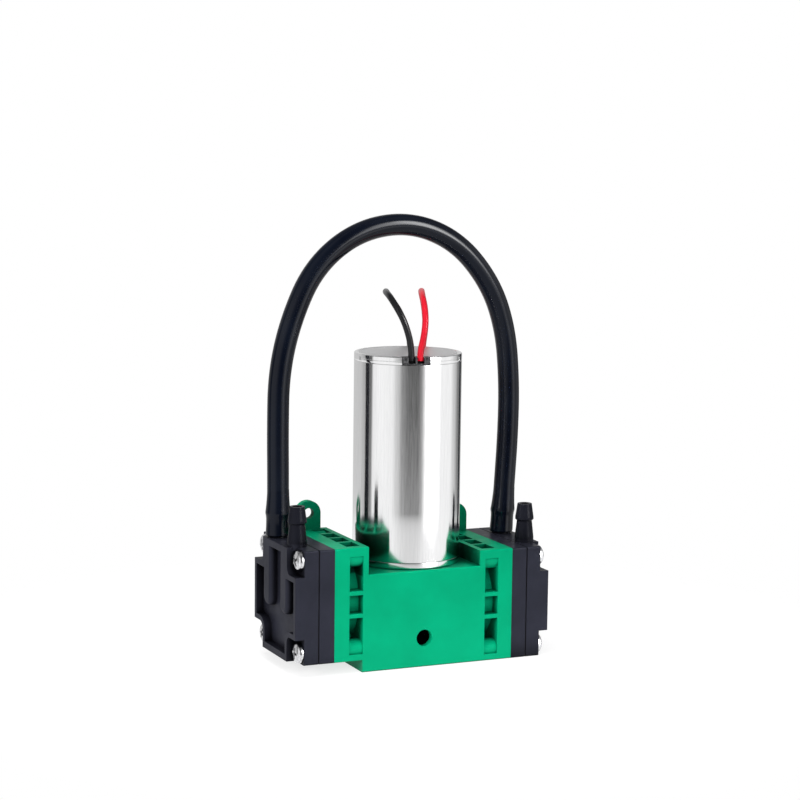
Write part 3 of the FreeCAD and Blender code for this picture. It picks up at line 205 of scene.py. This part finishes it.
# Floor, in metres
FLOOR_HALF = 0.8
FLOOR_LEVEL = -0.00002
FLOOR_FADE = (0.09, 0.21)
FLOOR_SHADE = 0.35
FLOOR_GLOW = 0.74

# The studio's walls as polished faces see them: levels by the turn in degrees from the side
# that faces the camera, whose azimuth is the negative of VIEW_TURN
VIEW_TURN = 113.97
WALLS = [(-180, 0.66), (-164, 0.60), (-150, 0.60), (-120, 0.57), (-106, 0.42), (-98, 0.20),
         (-84, 0.08), (-78, 0.90), (-60, 1.0), (-34, 0.95), (-20, 0.55), (-10, 0.18), (2, 0.03),
         (24, 0.03), (30, 0.22), (36, 0.62), (46, 0.82), (60, 1.0), (104, 0.97), (118, 0.62),
         (138, 0.18), (156, 0.16), (180, 0.66)]
PANEL = [(34, 0.0), (41, 0.28), (47, 0.45), (52, 1.0), (60, 1.0), (68, 0.3), (77, 0.0)]
PANEL_STRENGTH = 24.0

# The same by the steepness of the direction, from 0 straight down to 1 straight up
CEILING = [(0.60, 1.0), (0.70, 1.0), (0.80, 0.39), (1.0, 0.33)]
PANEL_HEIGHT = [(0.30, 0.0), (0.36, 0.06), (0.51, 0.06), (0.58, 1.0), (0.74, 1.0), (0.84, 0.0)]

# Z of the direction between which the walls change into the ceiling, and the ceiling's share
# over a dark and over a bright band
CEILING_START = (0.11, 0.20)
CEILING_SHARE = (0.15, 0.96)

# Z between which they change downwards, and how much of what a band lacks is filled up there
LOW_START = (-0.15, -0.26)
LOW_FILL = 0.75

# Light from all sides on what isn't polished
SOFT_LIGHT = 0.24

# Lamps: name, place, target, size and power, in metres and watts
LAMPS = [("key", (-0.25, -1.25, 0.5), (0.0, 0.0, 0.05), 0.6, 13.4),
         ("side", (-1.1, -0.45, 0.55), (0.0, 0.0, 0.03), 0.35, 8.5),
         ("top", (-0.1, -0.1, 1.15), (0.0, 0.0, 0.05), 0.6, 6.5)]


def link_object(name, data):
    """A new object in the scene with the given data."""
    obj = bpy.data.objects.new(name, data)
    bpy.context.scene.collection.objects.link(obj)
    return obj


# Camera

def make_camera():
    """The photograph's own viewpoint, measured from the pump's edges."""
    data = bpy.data.cameras.new("camera")
    data.sensor_fit = "HORIZONTAL"
    data.sensor_width = SENSOR_WIDTH
    data.lens = PHOTO_FOCUS / PHOTO_WIDTH * SENSOR_WIDTH
    data.clip_start = 0.01
    data.clip_end = 20.0
    camera = link_object("camera", data)
    axes = (Vector(CAMERA_RIGHT), Vector(CAMERA_UP), -Vector(CAMERA_AHEAD))
    turn = Matrix(axes).transposed().to_4x4()
    camera.matrix_world = Matrix.Translation(Vector(CAMERA_SPOT)) @ turn
    bpy.context.scene.camera = camera


# Material building

class Shader:
    """A small wrapper that adds and joins nodes of one material or world."""

    def __init__(self, tree):
        self.tree = tree
        self.nodes = tree.nodes
        self.nodes.clear()

    def add(self, kind, inputs=None, **settings):
        """A node with its settings and the values of its own inputs."""
        made = self.nodes.new(kind)
        for key, value in settings.items():
            setattr(made, key, value)
        for label, value in (inputs or {}).items():
            made.inputs[label].default_value = value
        return made

    def join(self, start, end):
        self.tree.links.new(start, end)

    def feed(self, item, end):
        """Give an input a number or another node's output."""
        if isinstance(item, (int, float)):
            end.default_value = item
        else:
            self.join(item, end)

    def place(self, kind="Object"):
        """The shaded point in the object's own coordinates, or a world's direction."""
        return self.add("ShaderNodeTexCoord").outputs[kind]

    def axes(self, place):
        """The outputs X, Y and Z of a point."""
        made = self.add("ShaderNodeSeparateXYZ")
        self.join(place, made.inputs["Vector"])
        return made.outputs

    def noise(self, place, scale, detail, rough, stretch=None):
        """Noise at a point, in cycles per metre, which a small stretch draws out along an axis."""
        if stretch is not None:
            mapping = self.add("ShaderNodeMapping", {"Scale": stretch})
            self.join(place, mapping.inputs["Vector"])
            place = mapping.outputs["Vector"]
        made = self.add("ShaderNodeTexNoise",
                        {"Scale": scale, "Detail": detail, "Roughness": rough})
        self.join(place, made.inputs["Vector"])
        return made.outputs["Fac"]

    def ramp(self, factor, stops, mode="LINEAR"):
        """Colours, or levels of grey, by the factor."""
        made = self.add("ShaderNodeValToRGB")
        made.color_ramp.interpolation = mode
        points = made.color_ramp.elements
        while len(points) < len(stops):
            points.new(0.5)
        for point, (at, shade) in zip(points, stops):
            point.position = at
            point.color = (*shade, 1.0) if isinstance(shade, tuple) else (shade, shade, shade, 1.0)
        self.join(factor, made.inputs["Fac"])
        return made.outputs["Color"]

    def spread(self, factor, low, high, source=(0.0, 1.0), mode="LINEAR"):
        """The factor's way from one end of source to the other, as a way from low to high."""
        made = self.add("ShaderNodeMapRange",
                        {"From Min": source[0], "From Max": source[1],
                         "To Min": low, "To Max": high}, interpolation_type=mode)
        self.join(factor, made.inputs["Value"])
        return made.outputs["Result"]

    def maths(self, kind, *items):
        made = self.add("ShaderNodeMath", operation=kind)
        for end, item in zip(made.inputs, items):
            self.feed(item, end)
        return made.outputs["Value"]

    def mix_colours(self, factor, first, second, kind="MIX"):
        blend = self.add("ShaderNodeMix", data_type="RGBA", blend_type=kind)
        self.feed(factor, blend.inputs["Factor"])
        self.join(first, blend.inputs[COLOUR_A])
        self.join(second, blend.inputs[COLOUR_B])
        return blend.outputs[COLOUR_OUT]

    def mix_shaders(self, factor, first, second):
        mix = self.add("ShaderNodeMixShader")
        self.join(factor, mix.inputs["Fac"])
        self.join(first, mix.inputs[1])
        self.join(second, mix.inputs[2])
        return mix.outputs["Shader"]

    def painted_hollow_shade(self, colour, least, reach, dimmed=(0.10, 0.68)):
        """Paint shade into a colour where other surfaces stand within reach.

        least is the share of the colour that deep spots keep. dimmed gives the openness of
        such spots, and the openness from which the colour is left as it is.
        """
        if not least:
            return colour
        near = self.add("ShaderNodeAmbientOcclusion", {"Distance": reach}, samples=8)
        # painted shade: the colour darkens as other surfaces close in around the point
        shade = self.spread(near.outputs["AO"], least, 1.0, dimmed)
        return self.mix_colours(1.0, colour, shade, "MULTIPLY")

    def painted_deck_shade(self, colour, place, least):
        """The same painted shade, above and behind the deck's front edge only, where motor and
        ends stand.
        """
        axes = self.axes(place)
        raised = self.spread(axes["Z"], 0.0, 1.0, DECK_TOP)
        behind = self.spread(axes["Y"], 0.0, 1.0, DECK_FRONT)
        shaded = self.painted_hollow_shade(colour, least, DECK_REACH, DECK_DIMMED)
        return self.mix_colours(self.maths("MULTIPLY", raised, behind), colour, shaded)

    def background(self, strength):
        made = self.add("ShaderNodeBackground", {"Color": WHITE})
        self.feed(strength, made.inputs["Strength"])
        return made.outputs["Background"]

    def show(self, shader, kind="ShaderNodeOutputMaterial"):
        """Join the last shader to the output."""
        self.join(shader, self.add(kind).inputs["Surface"])


def new_material(name):
    made = bpy.data.materials.new(name)
    made.use_nodes = True
    return made, Shader(made.node_tree)


def finish_surface(sh, body, height, depth, relief, soften):
    """Rounded edges and fine relief into the shader's normal, then the output."""
    bevel = sh.add("ShaderNodeBevel", {"Radius": soften}, samples=4)
    bump = sh.add("ShaderNodeBump", {"Strength": relief, "Distance": depth})
    sh.join(height, bump.inputs["Height"])
    sh.join(bevel.outputs["Normal"], bump.inputs["Normal"])
    sh.join(bump.outputs["Normal"], body.inputs["Normal"])
    sh.show(body.outputs["BSDF"])


def moulded(name, dark, light, rough, grain, relief, sheen=0.5, crevice=0.0, flecks=55.0,
            soften=0.00018, dimmed=(0.10, 0.68), deck=0.0, crown=None):
    """Moulded plastic or rubber: flow marks in the colour, a fine spark grain, painted shade in
    crevices.

    crevice and deck are the shares of the colour that deep spots keep under painted shade. Above
    the height crown, in metres, the colour is darkened by painted shade and the surface is
    glossier.
    """
    made, sh = new_material(name)
    body = sh.add("ShaderNodeBsdfPrincipled", {"Specular IOR Level": sheen})
    place = sh.place()
    flow = sh.noise(place, flecks, detail=4.0, rough=0.55)
    fine = sh.noise(place, grain, detail=2.0, rough=0.6)
    colour = sh.ramp(flow, list(zip(CONTRAST, (dark, light))))
    # painted shade darkens the colour in crevices
    colour = sh.painted_hollow_shade(colour, crevice, CREVICE_REACH, dimmed)
    smudge = sh.noise(place, SMUDGE_SCALE, detail=5.0, rough=0.6)
    gloss = sh.spread(smudge, rough - SMUDGE_GLOSS, rough + SMUDGE_GLOSS, CONTRAST)
    # painted shade on the deck between the motor and the frame's ends
    if deck:
        colour = sh.painted_deck_shade(colour, place, deck)
    # painted shade darkens the barbs' colour above the crown; the lower roughness there is real
    # gloss
    if crown is not None:
        above = sh.spread(sh.axes(place)["Z"], 0.0, 1.0, (crown, crown + CROWN_RISE))
        crown_painted_shade = sh.maths("SUBTRACT", 1.0, sh.maths("MULTIPLY", above, CROWN_PAINTED_SHADE))
        colour = sh.mix_colours(1.0, colour, crown_painted_shade, "MULTIPLY")
        gloss = sh.maths("SUBTRACT", gloss, sh.maths("MULTIPLY", above, CROWN_GLOSSIER))
    sh.join(colour, body.inputs["Base Color"])
    sh.join(gloss, body.inputs["Roughness"])
    finish_surface(sh, body, fine, GRAIN_DEPTH, relief, soften)
    return made


def metal(name, dark, light, rough, scale, relief, stretch=(1.0, 1.0, 1.0), soften=0.00015,
          smear=0.0, crevice=0.0):
    """Metal with drawing or turning marks; smear draws reflections out along the Z axis."""
    made, sh = new_material(name)
    body = sh.add("ShaderNodeBsdfPrincipled", {"Metallic": 1.0})
    if smear:
        body.inputs["Anisotropic"].default_value = smear
        body.inputs["Anisotropic Rotation"].default_value = SMEAR_TURN
        tangent = sh.add("ShaderNodeTangent", direction_type="RADIAL", axis="Z")
        sh.join(tangent.outputs["Tangent"], body.inputs["Tangent"])
    marks = sh.noise(sh.place(), scale, detail=4.0, rough=0.6, stretch=stretch)
    colour = sh.ramp(marks, list(zip(CONTRAST, (dark, light))))
    # painted shade darkens the colour in hollows such as a screw's recess
    sh.join(sh.painted_hollow_shade(colour, crevice, METAL_REACH), body.inputs["Base Color"])
    gloss = sh.spread(marks, rough + MARK_GLOSS[0], rough + MARK_GLOSS[1], CONTRAST)
    sh.join(gloss, body.inputs["Roughness"])
    finish_surface(sh, body, marks, MARK_DEPTH, relief, soften)
    return made


# crevice, deck and crown paint shade into the colours: in crevices, on the deck by the motor, on
# the barbs
GREEN = moulded(
    "green_moulding", (0.0, 0.275, 0.130), (0.0, 0.330, 0.160), rough=0.45, grain=7000.0,
    relief=0.3, sheen=0.05, crevice=0.15, dimmed=(0.08, 0.50), deck=0.20)
BLACK = {side: moulded(
    "black_moulding_" + tag, (0.017, 0.018, 0.026), (0.025, 0.026, 0.038), rough=0.36,
    grain=8000.0, relief=0.4, sheen=0.04, crevice=0.10, soften=0.0003, dimmed=(0.36, 0.94),
    crown=(HEAD_HEIGHT[side] + HALF + CROWN_START) * MM) for side, tag in SIDE_NAME.items()}
BASE_BLACK = moulded(
    "base_moulding", (0.010, 0.010, 0.012), (0.016, 0.016, 0.018), rough=0.55, grain=5000.0,
    relief=0.5, sheen=0.2)
HOSE = moulded(
    "hose_rubber", (0.002, 0.003, 0.007), (0.004, 0.006, 0.012), rough=0.13, grain=3000.0,
    relief=0.02, sheen=0.20)
SEAL = moulded(
    "seal_rubber", (0.006, 0.006, 0.006), (0.014, 0.014, 0.014), rough=0.60, grain=5000.0,
    relief=0.3, sheen=0.25)
RED = moulded(
    "red_insulation", (0.52, 0.006, 0.018), (0.66, 0.012, 0.030), rough=0.33, grain=5000.0,
    relief=0.1, sheen=0.3)
WIRE_BLACK = moulded(
    "black_insulation", (0.004, 0.004, 0.005), (0.009, 0.009, 0.010), rough=0.32, grain=5000.0,
    relief=0.1, sheen=0.3)
# crevice paints shade into the grommet's hollows
GROMMET = moulded(
    "grommet_rubber", (0.0, 0.0, 0.0), (0.11, 0.11, 0.115), rough=0.6, grain=2500.0, relief=0.9,
    sheen=0.2, crevice=0.2, flecks=1100.0)
NYLON = moulded(
    "white_nylon", (0.62, 0.61, 0.57), (0.72, 0.71, 0.67), rough=0.45, grain=6000.0, relief=0.3)
BOARD = moulded(
    "board", (0.012, 0.10, 0.045), (0.02, 0.14, 0.06), rough=0.35, grain=4000.0, relief=0.2)
CAN = metal(
    "can_steel", (0.84, 0.84, 0.845), (0.95, 0.95, 0.955), rough=0.125, scale=5200.0,
    relief=0.006, stretch=(1.0, 1.0, 0.02), smear=0.95)
LID = metal(
    "lid_steel", (0.84, 0.84, 0.85), (0.93, 0.93, 0.94), rough=0.36, scale=3000.0, relief=0.02)
# crevice paints shade into the screws' recesses
SCREW = metal(
    "screw_steel", (0.66, 0.66, 0.68), (0.92, 0.92, 0.94), rough=0.17, scale=1500.0, relief=0.3,
    crevice=0.03)
SHAFT = metal(
    "shaft_steel", (0.50, 0.50, 0.51), (0.66, 0.66, 0.67), rough=0.26, scale=6000.0,
    relief=0.15, stretch=(0.05, 0.05, 1.0))
BEARING = metal(
    "bearing_steel", (0.66, 0.66, 0.67), (0.80, 0.80, 0.82), rough=0.14, scale=6000.0,
    relief=0.08, stretch=(0.05, 0.05, 1.0))
ZINC = metal(
    "cast_zinc", (0.38, 0.38, 0.38), (0.52, 0.52, 0.51), rough=0.42, scale=1800.0, relief=0.5)
LAMINATION = metal(
    "lamination", (0.16, 0.16, 0.17), (0.30, 0.30, 0.31), rough=0.45, scale=2000.0, relief=0.8,
    stretch=(0.05, 0.05, 1.0))
COPPER = metal(
    "copper_windings", (0.55, 0.22, 0.09), (0.78, 0.36, 0.16), rough=0.30, scale=2200.0,
    relief=0.8, stretch=(0.1, 0.1, 1.0))
MAGNET = metal(
    "magnet", (0.10, 0.10, 0.11), (0.17, 0.17, 0.18), rough=0.5, scale=2500.0, relief=0.5)
ALUMINIUM = metal(
    "retainer_aluminium", (0.66, 0.66, 0.67), (0.80, 0.80, 0.80), rough=0.28, scale=5000.0,
    relief=0.2, stretch=(1.0, 0.1, 0.1))
STRAND = metal(
    "bare_copper", (0.62, 0.30, 0.14), (0.86, 0.48, 0.26), rough=0.28, scale=4000.0, relief=0.4)

FINISHES = {
    "frame": GREEN, "base_cover": BASE_BLACK, "base_screws": SCREW, "motor_bell": CAN,
    "motor_can": CAN, "motor_cap": CAN, "lead_grommet": SEAL, "stator_core": LAMINATION,
    "stator_coils": COPPER, "bearing_bracket": NYLON, "driver_board": BOARD,
    "motor_bearing_low": BEARING, "motor_bearing_top": BEARING, "motor_screws": SCREW,
    "motor_shaft": SHAFT, "rotor_magnet": MAGNET, "eccentric": ZINC, "set_screw": SHAFT,
    "bearing_spacer": SHAFT, "retaining_ring": SHAFT, "hose": HOSE, "lead_black": WIRE_BLACK,
    "lead_coil_black": WIRE_BLACK, "lead_red": RED, "lead_coil_red": RED,
}
for side, tag in SIDE_NAME.items():
    FINISHES.update({
        "bearing_inner_" + tag: BEARING, "bearing_outer_" + tag: BEARING,
        "connecting_rod_" + tag: NYLON, "diaphragm_" + tag: SEAL, "retainer_" + tag: ALUMINIUM,
        "retainer_screw_" + tag: SCREW, "valve_plate_" + tag: BLACK[side],
        "valve_sheet_" + tag: SEAL, "cover_" + tag: BLACK[side], "head_screws_" + tag: SCREW,
    })

for label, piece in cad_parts.items():
    piece.data.materials.clear()
    piece.data.materials.append(FINISHES[label])


# Mesh helpers

def mesh_object(name, made, finish, smooth=True):
    """A mesh object from a bmesh; curved runs shade smooth and corners stay crisp."""
    data = bpy.data.meshes.new(name)
    made.to_mesh(data)
    made.free()
    data.materials.append(finish)
    if smooth:
        data.shade_smooth()
        data.set_sharp_from_angle(angle=math.radians(CRISP))
    return link_object(name, data)


def put(obj, x, y, turn=0.0):
    """Set an object upright at X and Y in millimetres, turned about Z in degrees."""
    obj.location = (x * MM, y * MM, 0)
    obj.rotation_euler = (0, 0, math.radians(turn))
    return obj


def lathe(profile, steps):
    """Turn (radius, height) points, in millimetres, about Z; a radius of 0 is a single point."""
    made = bmesh.new()
    rings = []
    for radius, height in profile:
        ring = []
        for i in range(steps if radius else 1):
            angle = 2 * math.pi * i / steps
            ring.append(made.verts.new((radius * MM * math.cos(angle),
                                        radius * MM * math.sin(angle), height * MM)))
        rings.append(ring)
    for low, high in zip(rings, rings[1:]):
        for i in range(steps):
            j = (i + 1) % steps
            if len(low) == 1:
                made.faces.new((low[0], high[j], high[i]))
            elif len(high) == 1:
                made.faces.new((low[i], low[j], high[0]))
            else:
                made.faces.new((low[i], low[j], high[j], high[i]))
    bmesh.ops.recalc_face_normals(made, faces=made.faces)
    return made


def box_mesh(low, high):
    """A box between two corners in millimetres."""
    made = bmesh.new()
    bmesh.ops.create_cube(made, size=1.0)
    for vert in made.verts:
        for axis in range(3):
            vert.co[axis] = (low[axis] if vert.co[axis] < 0 else high[axis]) * MM
    return made


def carve(obj, tool):
    """Cut a tool out of an object, then throw the tool away."""
    cutter = obj.modifiers.new("carve", "BOOLEAN")
    cutter.operation = "DIFFERENCE"
    cutter.solver = "EXACT"
    cutter.object = tool
    bpy.context.view_layer.update()
    solved = obj.evaluated_get(bpy.context.evaluated_depsgraph_get())
    shaped = bpy.data.meshes.new_from_object(solved)
    obj.modifiers.clear()
    old = obj.data
    obj.data = shaped
    bpy.data.meshes.remove(old)
    bpy.data.objects.remove(tool)
    obj.data.set_sharp_from_angle(angle=math.radians(CRISP))


def joined(name, parts):
    """Several mesh objects, already in place, as one mesh object."""
    made = bmesh.new()
    for part in parts:
        data = part.data.copy()
        data.transform(part.matrix_world)
        made.from_mesh(data)
        bpy.data.meshes.remove(data)
    finish = parts[0].data.materials[0]
    for part in parts:
        bpy.data.objects.remove(part)
    return mesh_object(name, made, finish)


def carry(obj, slot, *replaced):
    """Fix a piece to the pump's body, in place of the solids that it stands for."""
    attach(obj, RIG)
    if replaced:
        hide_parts(*replaced)


def cord_curve(name, points, radius, finish, sides=7, steps=10):
    """A smooth round cord through control points given in millimetres."""
    data = bpy.data.curves.new(name, "CURVE")
    data.dimensions = "3D"
    data.bevel_depth = radius * MM
    data.bevel_resolution = sides
    data.resolution_u = steps
    data.use_fill_caps = True
    spline = data.splines.new("NURBS")
    spline.points.add(len(points) - 1)
    for point, (x, y, z) in zip(spline.points, points):
        point.co = (x * MM, y * MM, z * MM, 1.0)
    spline.order_u = 3
    spline.use_endpoint_u = True
    data.materials.append(finish)
    return link_object(name, data)


# Hose

def make_hose():
    """The hose over the motor, with its ends stretched over the rear barbs."""
    top = {side: HEAD_HEIGHT[side] + HALF for side in (-1, 1)}
    foot = {side: top[side] + HOSE_LIFT for side in (-1, 1)}
    line = [(-BARB_X, foot[-1])] + HOSE_LINE + [(BARB_X, foot[1])]
    hose = cord_curve("hose_tube", [(x, BARB_Y, z) for x, z in line], HOSE_RADIUS, HOSE,
                      sides=HOSE_SIDES)
    for side, start in ((-1, HOSE_LINE[0]), (1, HOSE_LINE[-1])):
        turned = lathe(SLEEVE, SLEEVE_STEPS)
        lean = (start[0] - BARB_X * side) / (start[1] - foot[side])
        for vert in turned.verts:
            vert.co.x += lean * vert.co.z
            vert.co.z += top[side] * MM
        sleeve = mesh_object("hose_end_" + SIDE_NAME[side], turned, HOSE)
        put(sleeve, BARB_X * side, BARB_Y)
        carry(sleeve, "hose_rubber")
    carry(hose, "hose_rubber", "hose")


# Motor leads, each with the unseen rest in a small coil behind the pump

def coil_points(middle):
    """Control points of the coil's turns, set outside the turns so that the curve meets them."""
    points = []
    outward = math.cos(math.radians(COIL_STEP / 2))
    angle = COIL_LAYS[0][0] + COIL_ENTRY
    while angle <= COIL_LAYS[-1][0]:
        for (a0, r0, z0), (a1, r1, z1) in zip(COIL_LAYS, COIL_LAYS[1:]):
            if a0 <= angle <= a1:
                share = (angle - a0) / (a1 - a0)
                share = share * share * (3 - 2 * share)
                radius = (r0 + (r1 - r0) * share) / outward
                height = z0 + (z1 - z0) * share
        turn = math.radians(angle)
        points.append((middle[0] + radius * math.cos(turn),
                       middle[1] + radius * math.sin(turn), height))
        angle += COIL_STEP
    return points


def make_lead(colour, finish, slot):
    """One lead from the grommet to its coil, with a bare tip."""
    start = (*LEAD_SPOT[colour], LEAD_START)
    line = [start] + LEAD_LINE[colour] + coil_points(COIL_MIDDLE[colour])
    lead = cord_curve("lead_wire_" + colour, line, LEAD_RADIUS, finish,
                      steps=LEAD_FINENESS)
    end, before = Vector(line[-1]), Vector(line[-2])
    ahead = (end - before).normalized()
    bare = [end + ahead * along for along in (-TIP_HIDDEN, TIP_BARE / 2, TIP_BARE)]
    tip = cord_curve("lead_tip_" + colour, bare, TIP_RADIUS, STRAND)
    carry(tip, slot)
    carry(lead, slot, "lead_" + colour, "lead_coil_" + colour)


def make_leads():
    make_lead("black", WIRE_BLACK, "black_insulation")
    make_lead("red", RED, "red_insulation")


# Pan-head screws with a cross recess

def screw_mesh():
    """One head along +Z, seated at zero, with its crown and tapered cross recess."""
    head = mesh_object("screw_head", lathe(PAN_HEAD, SCREW_STEPS), SCREW)
    for long_x, long_y in ((RECESS_REACH, RECESS_WIDTH), (RECESS_WIDTH, RECESS_REACH)):
        arm = bmesh.new()
        bmesh.ops.create_cube(arm, size=2.0)
        for vert in arm.verts:
            share, height = (1.0, RECESS_TOP) if vert.co.z > 0 else (RECESS_TAPER, RECESS_FLOOR)
            vert.co = Vector((vert.co.x * long_x * share, vert.co.y * long_y * share,
                              height)) * MM
        carve(head, mesh_object("arm", arm, SCREW, False))
    return head


def make_head_screws():
    """Four screws on each cover, each turned a little differently."""
    pattern = screw_mesh()
    for side, name in SIDE_NAME.items():
        face = Matrix.Rotation(math.radians(90 * side), 4, "Y")
        heads = []
        for (a, b), angle in SCREW_TURN.items():
            head = link_object(pattern.name, pattern.data.copy())
            spin = Matrix.Rotation(math.radians(angle + SIDE_TURN * side), 4, "Z")
            spot = Vector((COVER_FACE * side, SCREW_OFFSET * a,
                           HEAD_HEIGHT[side] + SCREW_OFFSET * b)) * MM
            head.matrix_world = Matrix.Translation(spot) @ face @ spin
            heads.append(head)
        bpy.context.view_layer.update()
        screws = joined("pan_screws_" + name, heads)
        carry(screws, "screw_steel", "head_screws_" + name)
    bpy.data.objects.remove(pattern)


# Polished motor shell

def make_motor():
    """Bell, can and cap turned with fine seams; the cap's rim is notched for the leads."""
    bell = mesh_object("motor_bell_shell", lathe(BELL, SHELL_STEPS), CAN)
    can = mesh_object("motor_can_shell", lathe(TUBE, SHELL_STEPS), CAN)
    cap = mesh_object("motor_cap_shell", lathe(CAP, SHELL_STEPS), CAN)
    lid = mesh_object("motor_lid", lathe(LID_PLATE, LID_STEPS), LID)
    for shell in (bell, can, cap, lid):
        put(shell, MOTOR_X, 0)
    for turn in STAKE_TURNS:
        stake = mesh_object("stake", box_mesh(*STAKE), CAN, False)
        carve(cap, put(stake, MOTOR_X, 0, turn))
    for shell in (cap, lid):
        notch = mesh_object("notch", box_mesh(*NOTCH), CAN, False)
        carve(shell, put(notch, MOTOR_X, 0, NOTCH_TURN))
    carry(bell, "can_steel", "motor_bell")
    carry(can, "can_steel", "motor_can")
    carry(cap, "can_steel", "motor_cap")
    carry(lid, "can_steel")


def make_grommet():
    """Rubber block in the cap's notch, with a slot open to the front for each lead."""
    block = box_mesh(*PLUG)
    bmesh.ops.bevel(block, geom=block.edges[:], offset=PLUG_EDGE * MM, segments=2,
                    affect="EDGES")
    grommet = mesh_object("grommet_block", block, GROMMET, False)
    put(grommet, MOTOR_X, 0, NOTCH_TURN)
    bore = [(0.0, SLOT_FOOT), (SLOT_HALF, SLOT_FOOT), (SLOT_HALF, SLOT_TOP), (0.0, SLOT_TOP)]
    for x, y in LEAD_SPOT.values():
        slit = box_mesh((-SLOT_HALF, -SLOT_DEPTH, SLOT_FOOT), (SLOT_HALF, 0.0, SLOT_TOP))
        carve(grommet, put(mesh_object("slot", slit, GROMMET, False), x, y, SLOT_TURN))
        carve(grommet, put(mesh_object("hole", lathe(bore, SLOT_STEPS), GROMMET, False), x, y))
    carry(grommet, "seal_rubber", "lead_grommet")


# Studio

def make_floor():
    """A pale floor that keeps the shadow and fades out before its own edge."""
    data = bpy.data.meshes.new("floor")
    corners = [(x * FLOOR_HALF, y * FLOOR_HALF, FLOOR_LEVEL)
               for x, y in ((-1, -1), (1, -1), (1, 1), (-1, 1))]
    data.from_pydata(corners, [], [(0, 1, 2, 3)])
    floor = link_object("floor", data)
    made, sh = new_material("floor_paper")
    body = sh.add("ShaderNodeBsdfDiffuse",
                  {"Color": (FLOOR_SHADE, FLOOR_SHADE, FLOOR_SHADE, 1.0)})
    glow = sh.add("ShaderNodeEmission", {"Strength": FLOOR_GLOW})
    table = sh.add("ShaderNodeAddShader")
    sh.join(body.outputs["BSDF"], table.inputs[0])
    sh.join(glow.outputs["Emission"], table.inputs[1])
    clear = sh.add("ShaderNodeBsdfTransparent")
    away = sh.add("ShaderNodeVectorMath", operation="LENGTH")
    sh.join(sh.place(), away.inputs[0])
    fade = sh.spread(away.outputs["Value"], 0.0, 1.0, FLOOR_FADE, "SMOOTHSTEP")
    sh.show(sh.mix_shaders(fade, table.outputs["Shader"], clear.outputs["BSDF"]))
    data.materials.append(made)
    floor.visible_glossy = False


def turn_stops(levels):
    """Ramp stops from levels by turn."""
    return [((turn + 180) / 360.0, level) for turn, level in levels]


def make_world():
    """White studio; polished faces see its tall flags and soft panels as bands."""
    world = bpy.data.worlds.new("studio")
    world.use_nodes = True
    bpy.context.scene.world = world
    sh = Shader(world.node_tree)
    axes = sh.axes(sh.place("Generated"))
    angle = sh.maths("ARCTAN2", axes["Y"], axes["X"])
    share = sh.maths("DIVIDE", angle, 2 * math.pi)
    around = sh.maths("FRACT", sh.maths("ADD", share, VIEW_TURN / 360.0 + 0.5))
    steep = sh.spread(axes["Z"], 0.0, 1.0, (-1.0, 1.0))
    walls = sh.ramp(around, turn_stops(WALLS), "EASE")
    low = sh.spread(axes["Z"], 0.0, LOW_FILL, LOW_START, "SMOOTHSTEP")
    filled = sh.maths("ADD", walls,
                      sh.maths("MULTIPLY", sh.maths("SUBTRACT", 1.0, walls), low))
    ceiling = sh.maths("MULTIPLY", sh.spread(walls, *CEILING_SHARE), sh.ramp(steep, CEILING))
    above = sh.spread(axes["Z"], 0.0, 1.0, CEILING_START, "SMOOTHSTEP")
    level = sh.add("ShaderNodeMix", data_type="FLOAT")
    sh.join(above, level.inputs["Factor"])
    sh.join(filled, level.inputs[FLOAT_A])
    sh.join(ceiling, level.inputs[FLOAT_B])
    panel = sh.maths("MULTIPLY", sh.ramp(around, turn_stops(PANEL), "EASE"),
                     sh.ramp(steep, PANEL_HEIGHT, "EASE"))
    extra = sh.maths("MULTIPLY", panel, PANEL_STRENGTH)
    glossy = sh.background(sh.maths("ADD", level.outputs[FLOAT_OUT], extra))
    path = sh.add("ShaderNodeLightPath").outputs
    inner = sh.mix_shaders(path["Is Glossy Ray"], sh.background(SOFT_LIGHT), glossy)
    outer = sh.mix_shaders(path["Is Camera Ray"], inner, sh.background(1.0))
    sh.show(outer, "ShaderNodeOutputWorld")


def lamp(name, spot, target, size, power):
    """A square lamp that no polished face shows."""
    data = bpy.data.lights.new(name, "AREA")
    data.size = size
    data.energy = power
    light = link_object(name, data)
    light.visible_glossy = False
    aim = (Vector(target) - Vector(spot)).to_track_quat("-Z", "Y").to_matrix().to_4x4()
    light.matrix_world = Matrix.Translation(Vector(spot)) @ aim


make_camera()
make_hose()
make_leads()
make_head_screws()
make_motor()
make_grommet()
make_floor()
make_world()
for entry in LAMPS:
    lamp(*entry)

scene = bpy.context.scene
scene.view_settings.view_transform = "Standard"
